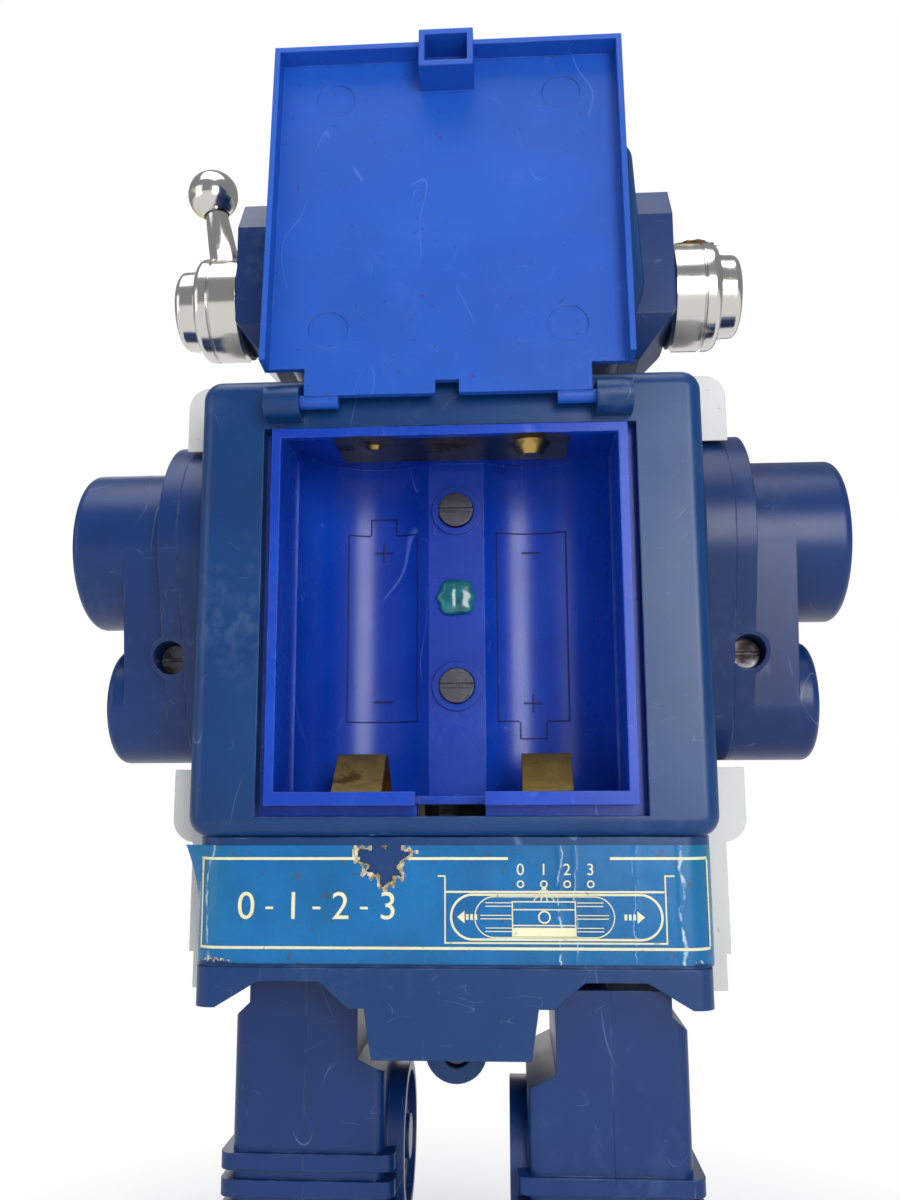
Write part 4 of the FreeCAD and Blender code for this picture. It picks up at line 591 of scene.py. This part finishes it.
# ---------------------------------------------------------------- turned pieces
def spin_profile(mesh, profile, centre, axis, steps):
    """A closed turned shape from (along, radius) pairs in mm, which start and end on the axis."""
    axis = Vector(axis).normalized()
    across = axis.orthogonal().normalized()
    centre = Vector(centre)
    points = [mesh.verts.new(centre + axis * along * MM + across * radius * MM) for along, radius in profile]
    edges = [mesh.edges.new(pair) for pair in zip(points, points[1:])]
    bmesh.ops.spin(mesh, geom=points + edges, cent=centre, axis=axis, angle=2 * math.pi, steps=steps,
                   use_merge=True)


def close_turned(mesh):
    """Weld the seams of a turned shape and point its faces outward."""
    bmesh.ops.remove_doubles(mesh, verts=mesh.verts[:], dist=0.004 * MM)
    bmesh.ops.recalc_face_normals(mesh, faces=mesh.faces[:])


def arc_points(centre_along, centre_radius, radius, start, finish, steps=6):
    """Points on a quarter round for a turned profile, angles in degrees from the axis direction."""
    points = []
    for index in range(steps + 1):
        angle = math.radians(start + (finish - start) * index / steps)
        points.append((centre_along + radius * math.cos(angle), centre_radius + radius * math.sin(angle)))
    return points


EAR_Y = 15.5
EAR_Z = 255.0
ANTENNA_X = 59.0


def make_ears():
    """Chromed ears turned on one axis, with the ball-ended antenna on the left one."""
    for name, side in SIDES.items():
        low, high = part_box(f"{name}_ear")
        base = (low.x if side > 0 else -high.x) / MM
        # the antenna does not reach as far out as the cap, so the cap's end is the node's outer end
        end = (high.x if side > 0 else -low.x) / MM
        centre = Vector((0, EAR_Y * MM, EAR_Z * MM))
        axis = (side, 0, 0)
        drum_end = 64.0
        profile = [(base, 0.0), (base, 12.2), (base + 0.8, 13.0), (base + 7.4, 13.0), (base + 7.6, 12.7),
                   (base + 7.9, 12.7), (base + 8.1, 13.0), (drum_end - 2.0, 13.0)]
        profile += arc_points(drum_end - 2.0, 11.0, 2.0, 90, 20, 5)
        profile += [(drum_end + 0.1, 10.9), (drum_end + 0.2, 10.2), (drum_end + 2.2, 10.0)]
        profile += arc_points(end - 2.0, 8.2, 1.8, 90, 10, 5)
        profile += [(end - 0.3, 7.4), (end - 0.9, 7.0), (end - 0.9, 5.4), (end - 0.2, 5.0), (end, 3.0),
                    (end, 0.0)]
        mesh = bmesh.new()
        spin_profile(mesh, profile, centre, axis, 80)
        if side > 0:
            root = Vector((ANTENNA_X * MM, EAR_Y * MM, 266.5 * MM))
            lean = math.radians(11.0)
            stem_axis = Vector((math.sin(lean), 0, math.cos(lean)))
            stem = [(-4.0, 0.0), (-4.0, 4.6), (0.6, 4.6), (1.6, 3.95), (10.0, 3.3), (16.2, 2.75), (17.0, 2.9)]
            stem += [(21.0 + 6.5 * math.cos(math.radians(angle)), 6.5 * math.sin(math.radians(angle)))
                     for angle in range(150, -1, -10)]
            stem[-1] = (27.5, 0.0)
            spin_profile(mesh, stem, root, stem_axis, 48)
        close_turned(mesh)
        materials = [FINISH["chrome_trim"], SCAR]
        ear = finish_piece(f"{name}_ear_turned", mesh, "chassis", materials)
        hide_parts(f"{name}_ear")
        if side < 0:
            make_scar(centre)


def make_scar(centre):
    """Torn stub where the right antenna snapped off: a low ragged crater on top of the drum."""
    mesh = bmesh.new()
    made = bmesh.ops.create_uvsphere(mesh, u_segments=36, v_segments=18, radius=4.6 * MM)
    maker = random.Random(5)
    for vertex in made["verts"]:
        flat = math.hypot(vertex.co.x, vertex.co.y) / (4.6 * MM)
        rough = 1 + 0.28 * (maker.random() - 0.5)
        vertex.co.x *= rough * 1.25
        vertex.co.y *= rough
        vertex.co.z = vertex.co.z * 0.22 - 0.7 * MM * max(0.0, 0.55 - flat)
    bmesh.ops.translate(mesh, verts=mesh.verts[:], vec=(-59.3 * MM, centre.y, centre.z + 12.9 * MM))
    finish_piece("right_antenna_scar", mesh, "chassis", [SCAR])


def rusty():
    """Brown broken plastic under lifted plating."""
    material, tree, shader = new_material("broken_scar")
    place = put(tree, "TexCoord").outputs["Object"]
    field = noise(tree, place, 420.0, 5.0, 0.7)
    base = mix_colour(tree, remap(tree, field, 0.35, 0.65), paint(58, 34, 22), paint(134, 98, 70))
    tree.links.new(base, shader.inputs["Base Color"])
    shader.inputs["Roughness"].default_value = 0.85
    relief = put(tree, "Bump", {"Strength": 0.8, "Distance": 0.0008, "Height": field})
    tree.links.new(relief.outputs["Normal"], shader.inputs["Normal"])
    return material


SCAR = rusty()


def make_drills():
    """Chuck collar and a tapered auger whose ridge winds round it to the tip."""
    for name, side in SIDES.items():
        low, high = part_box(f"{name}_drill")
        centre_x = (low.x + high.x) / 2
        centre_z = (low.z + high.z) / 2
        tip = -low.y / MM
        start = 18.0
        mesh = bmesh.new()
        centre = Vector((centre_x, 0, centre_z))
        axis = (0, -1, 0)
        profile = [(-9.0, 0.0), (-9.0, 1.7), (8.0, 1.7), (8.0, 2.5), (12.4, 2.5), (12.4, 6.0), (12.9, 6.5),
                   (start - 0.6, 6.5), (start, 5.9), (start, 4.4), (start + 0.5, 4.2), (tip - 2.0, 0.9),
                   (tip, 0.0)]
        spin_profile(mesh, profile, centre, axis, 48)
        close_turned(mesh)
        turns = 6
        length = tip - start - 1.0
        steps = 36
        ridge_out = 5.6
        section = [(0.0, ridge_out), (0.8, ridge_out - 0.9), (1.4, ridge_out - 2.2), (-1.4, ridge_out - 2.2),
                   (-0.8, ridge_out - 0.9)]
        corners = [mesh.verts.new(centre + Vector((0, -(start + 1.4 + along) * MM, radius * MM)))
                   for along, radius in section]
        ring = [mesh.edges.new((corners[index], corners[(index + 1) % len(corners)]))
                for index in range(len(corners))]
        first = set(mesh.verts) - set(corners)
        cap = mesh.faces.new(corners)
        rise = (length - 2.4) / (turns * steps)
        bmesh.ops.spin(mesh, geom=corners + ring + [cap], cent=centre, axis=axis, angle=2 * math.pi * turns,
                       steps=turns * steps, dvec=Vector((0, -rise * MM, 0)))
        for vertex in mesh.verts:
            if vertex in first:
                continue
            along = -vertex.co.y / MM
            share = 1 - max(0.0, (along - start)) / (tip - start + 1.5)
            vertex.co.x = centre_x + (vertex.co.x - centre_x) * share
            vertex.co.z = centre_z + (vertex.co.z - centre_z) * share
        bmesh.ops.recalc_face_normals(mesh, faces=mesh.faces[:])
        drill = finish_piece(f"{name}_drill_auger", mesh, f"{name}_bit",
                             [FINISH["drill_metal"]])
        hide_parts(f"{name}_drill")


def make_sealed_screw():
    """A recessed screw under a blob of lacquer that has run a little."""
    middle = centre_of("sealed_screw")
    mesh = bmesh.new()
    made = bmesh.ops.create_icosphere(mesh, subdivisions=5, radius=1.0)
    for vertex in made["verts"]:
        x, y, z = vertex.co
        swell = 1 + 0.06 * math.sin(5 * x + 2) * math.cos(4 * z) + 0.05 * math.sin(9 * z + 1)
        dent = 0.45 * math.exp(-(x / 0.16) ** 2) * (abs(z) < 0.7) + 0.25 * math.exp(-(z / 0.2) ** 2)
        vertex.co = Vector((x * 4.35 * swell, y * (1.25 - 0.5 * dent * (y > 0)), z * 4.35 * swell)) * MM
    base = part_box("sealed_screw")[0].y
    bmesh.ops.translate(mesh, verts=mesh.verts[:], vec=(middle.x, base + 0.9 * MM, middle.z))
    blob = finish_piece("sealed_screw_lacquer", mesh, "chassis", [FINISH["seal_lacquer"]])
    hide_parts("sealed_screw")


# ---------------------------------------------------------------- stage, light and camera
def make_stage():
    """A pale floor that fades to plain white away from the feet."""
    mesh = bmesh.new()
    bmesh.ops.create_circle(mesh, cap_ends=True, segments=96, radius=6.0)
    data = bpy.data.meshes.new("floor")
    mesh.to_mesh(data)
    mesh.free()
    floor = bpy.data.objects.new("floor", data)
    bpy.context.scene.collection.objects.link(floor)
    material, tree, shader = new_material("pale_floor")
    shader.inputs["Base Color"].default_value = paint(238, 238, 240)
    shader.inputs["Roughness"].default_value = 0.7
    place = put(tree, "TexCoord").outputs["Object"]
    reach = put(tree, "VectorMath", {0: place}, operation="LENGTH").outputs["Value"]
    far = remap(tree, reach, 0.09, 0.20)
    rays = put(tree, "LightPath")
    bounced = math_node(tree, "MAXIMUM", rays.outputs["Is Glossy Ray"], rays.outputs["Is Transmission Ray"])
    seen = math_node(tree, "MAXIMUM", rays.outputs["Is Camera Ray"], bounced)
    share = math_node(tree, "MULTIPLY", far, seen)
    white = put(tree, "Emission", {"Color": (1, 1, 1, 1), "Strength": 1.0}).outputs[0]
    blend = put(tree, "MixShader", {0: share, 1: shader.outputs[0], 2: white})
    tree.links.new(blend.outputs[0], tree.nodes["Material Output"].inputs["Surface"])
    data.materials.append(material)


def make_world():
    world = bpy.data.worlds.new("studio")
    world.use_nodes = True
    tree = world.node_tree
    back = tree.nodes["Background"]
    rays = put(tree, "LightPath")
    plain = put(tree, "Background", {"Color": (1, 1, 1, 1), "Strength": 1.0})
    back.inputs["Color"].default_value = (0.93, 0.96, 1.0, 1)
    back.inputs["Strength"].default_value = 0.34
    blend = put(tree, "MixShader", {0: rays.outputs["Is Camera Ray"], 1: back.outputs[0],
                                    2: plain.outputs[0]})
    tree.links.new(blend.outputs[0], tree.nodes["World Output"].inputs["Surface"])
    bpy.context.scene.world = world


def make_lamp(name, place, target, size, power, tint=(1, 1, 1)):
    lamp = bpy.data.lights.new(name, "AREA")
    lamp.shape = "RECTANGLE"
    lamp.size, lamp.size_y = size
    lamp.energy = power
    lamp.color = tint
    thing = bpy.data.objects.new(name, lamp)
    thing.location = place
    thing.rotation_euler = (Vector(target) - Vector(place)).to_track_quat("-Z", "Y").to_euler()
    bpy.context.scene.collection.objects.link(thing)


def make_lights():
    aim = (0, 0, 0.17)
    make_lamp("window_right", (-0.257, 0.70, 0.29), aim, (0.29, 0.39), 3.5)
    make_lamp("overhead", (0.1, 0.25, 1.3), aim, (1.1, 0.9), 9.0)
    make_lamp("fill_left", (1.1, 0.8, 0.4), aim, (0.8, 0.9), 3.0)
    make_lamp("front_wash", (0.3, -1.3, 0.7), aim, (1.2, 0.9), 6.0)


def make_camera():
    """Behind and a little to the robot's right, at hip height, looking up at its open back."""
    camera = bpy.data.cameras.new("camera")
    camera.sensor_fit = "VERTICAL"
    camera.sensor_height = 36.0
    camera.lens = 31.89
    thing = bpy.data.objects.new("camera", camera)
    forward = Vector((0.0568, -0.9840, 0.1690)).normalized()
    right = Vector((-0.9983, -0.0583, -0.0040)).normalized()
    up = right.cross(forward)
    turn = Matrix((right, up, -forward)).transposed()
    thing.matrix_world = Matrix.Translation((-12.6 * MM, 266.2 * MM, 136.8 * MM)) @ turn.to_4x4()
    bpy.context.scene.collection.objects.link(thing)
    bpy.context.scene.camera = thing


bpy.context.scene.view_settings.view_transform = "Standard"
make_camera()
make_world()
make_lights()
make_stage()
dress_frame()
make_label_film()
make_label_print()
make_cell_marks()
make_ears()
make_drills()
make_sealed_screw()
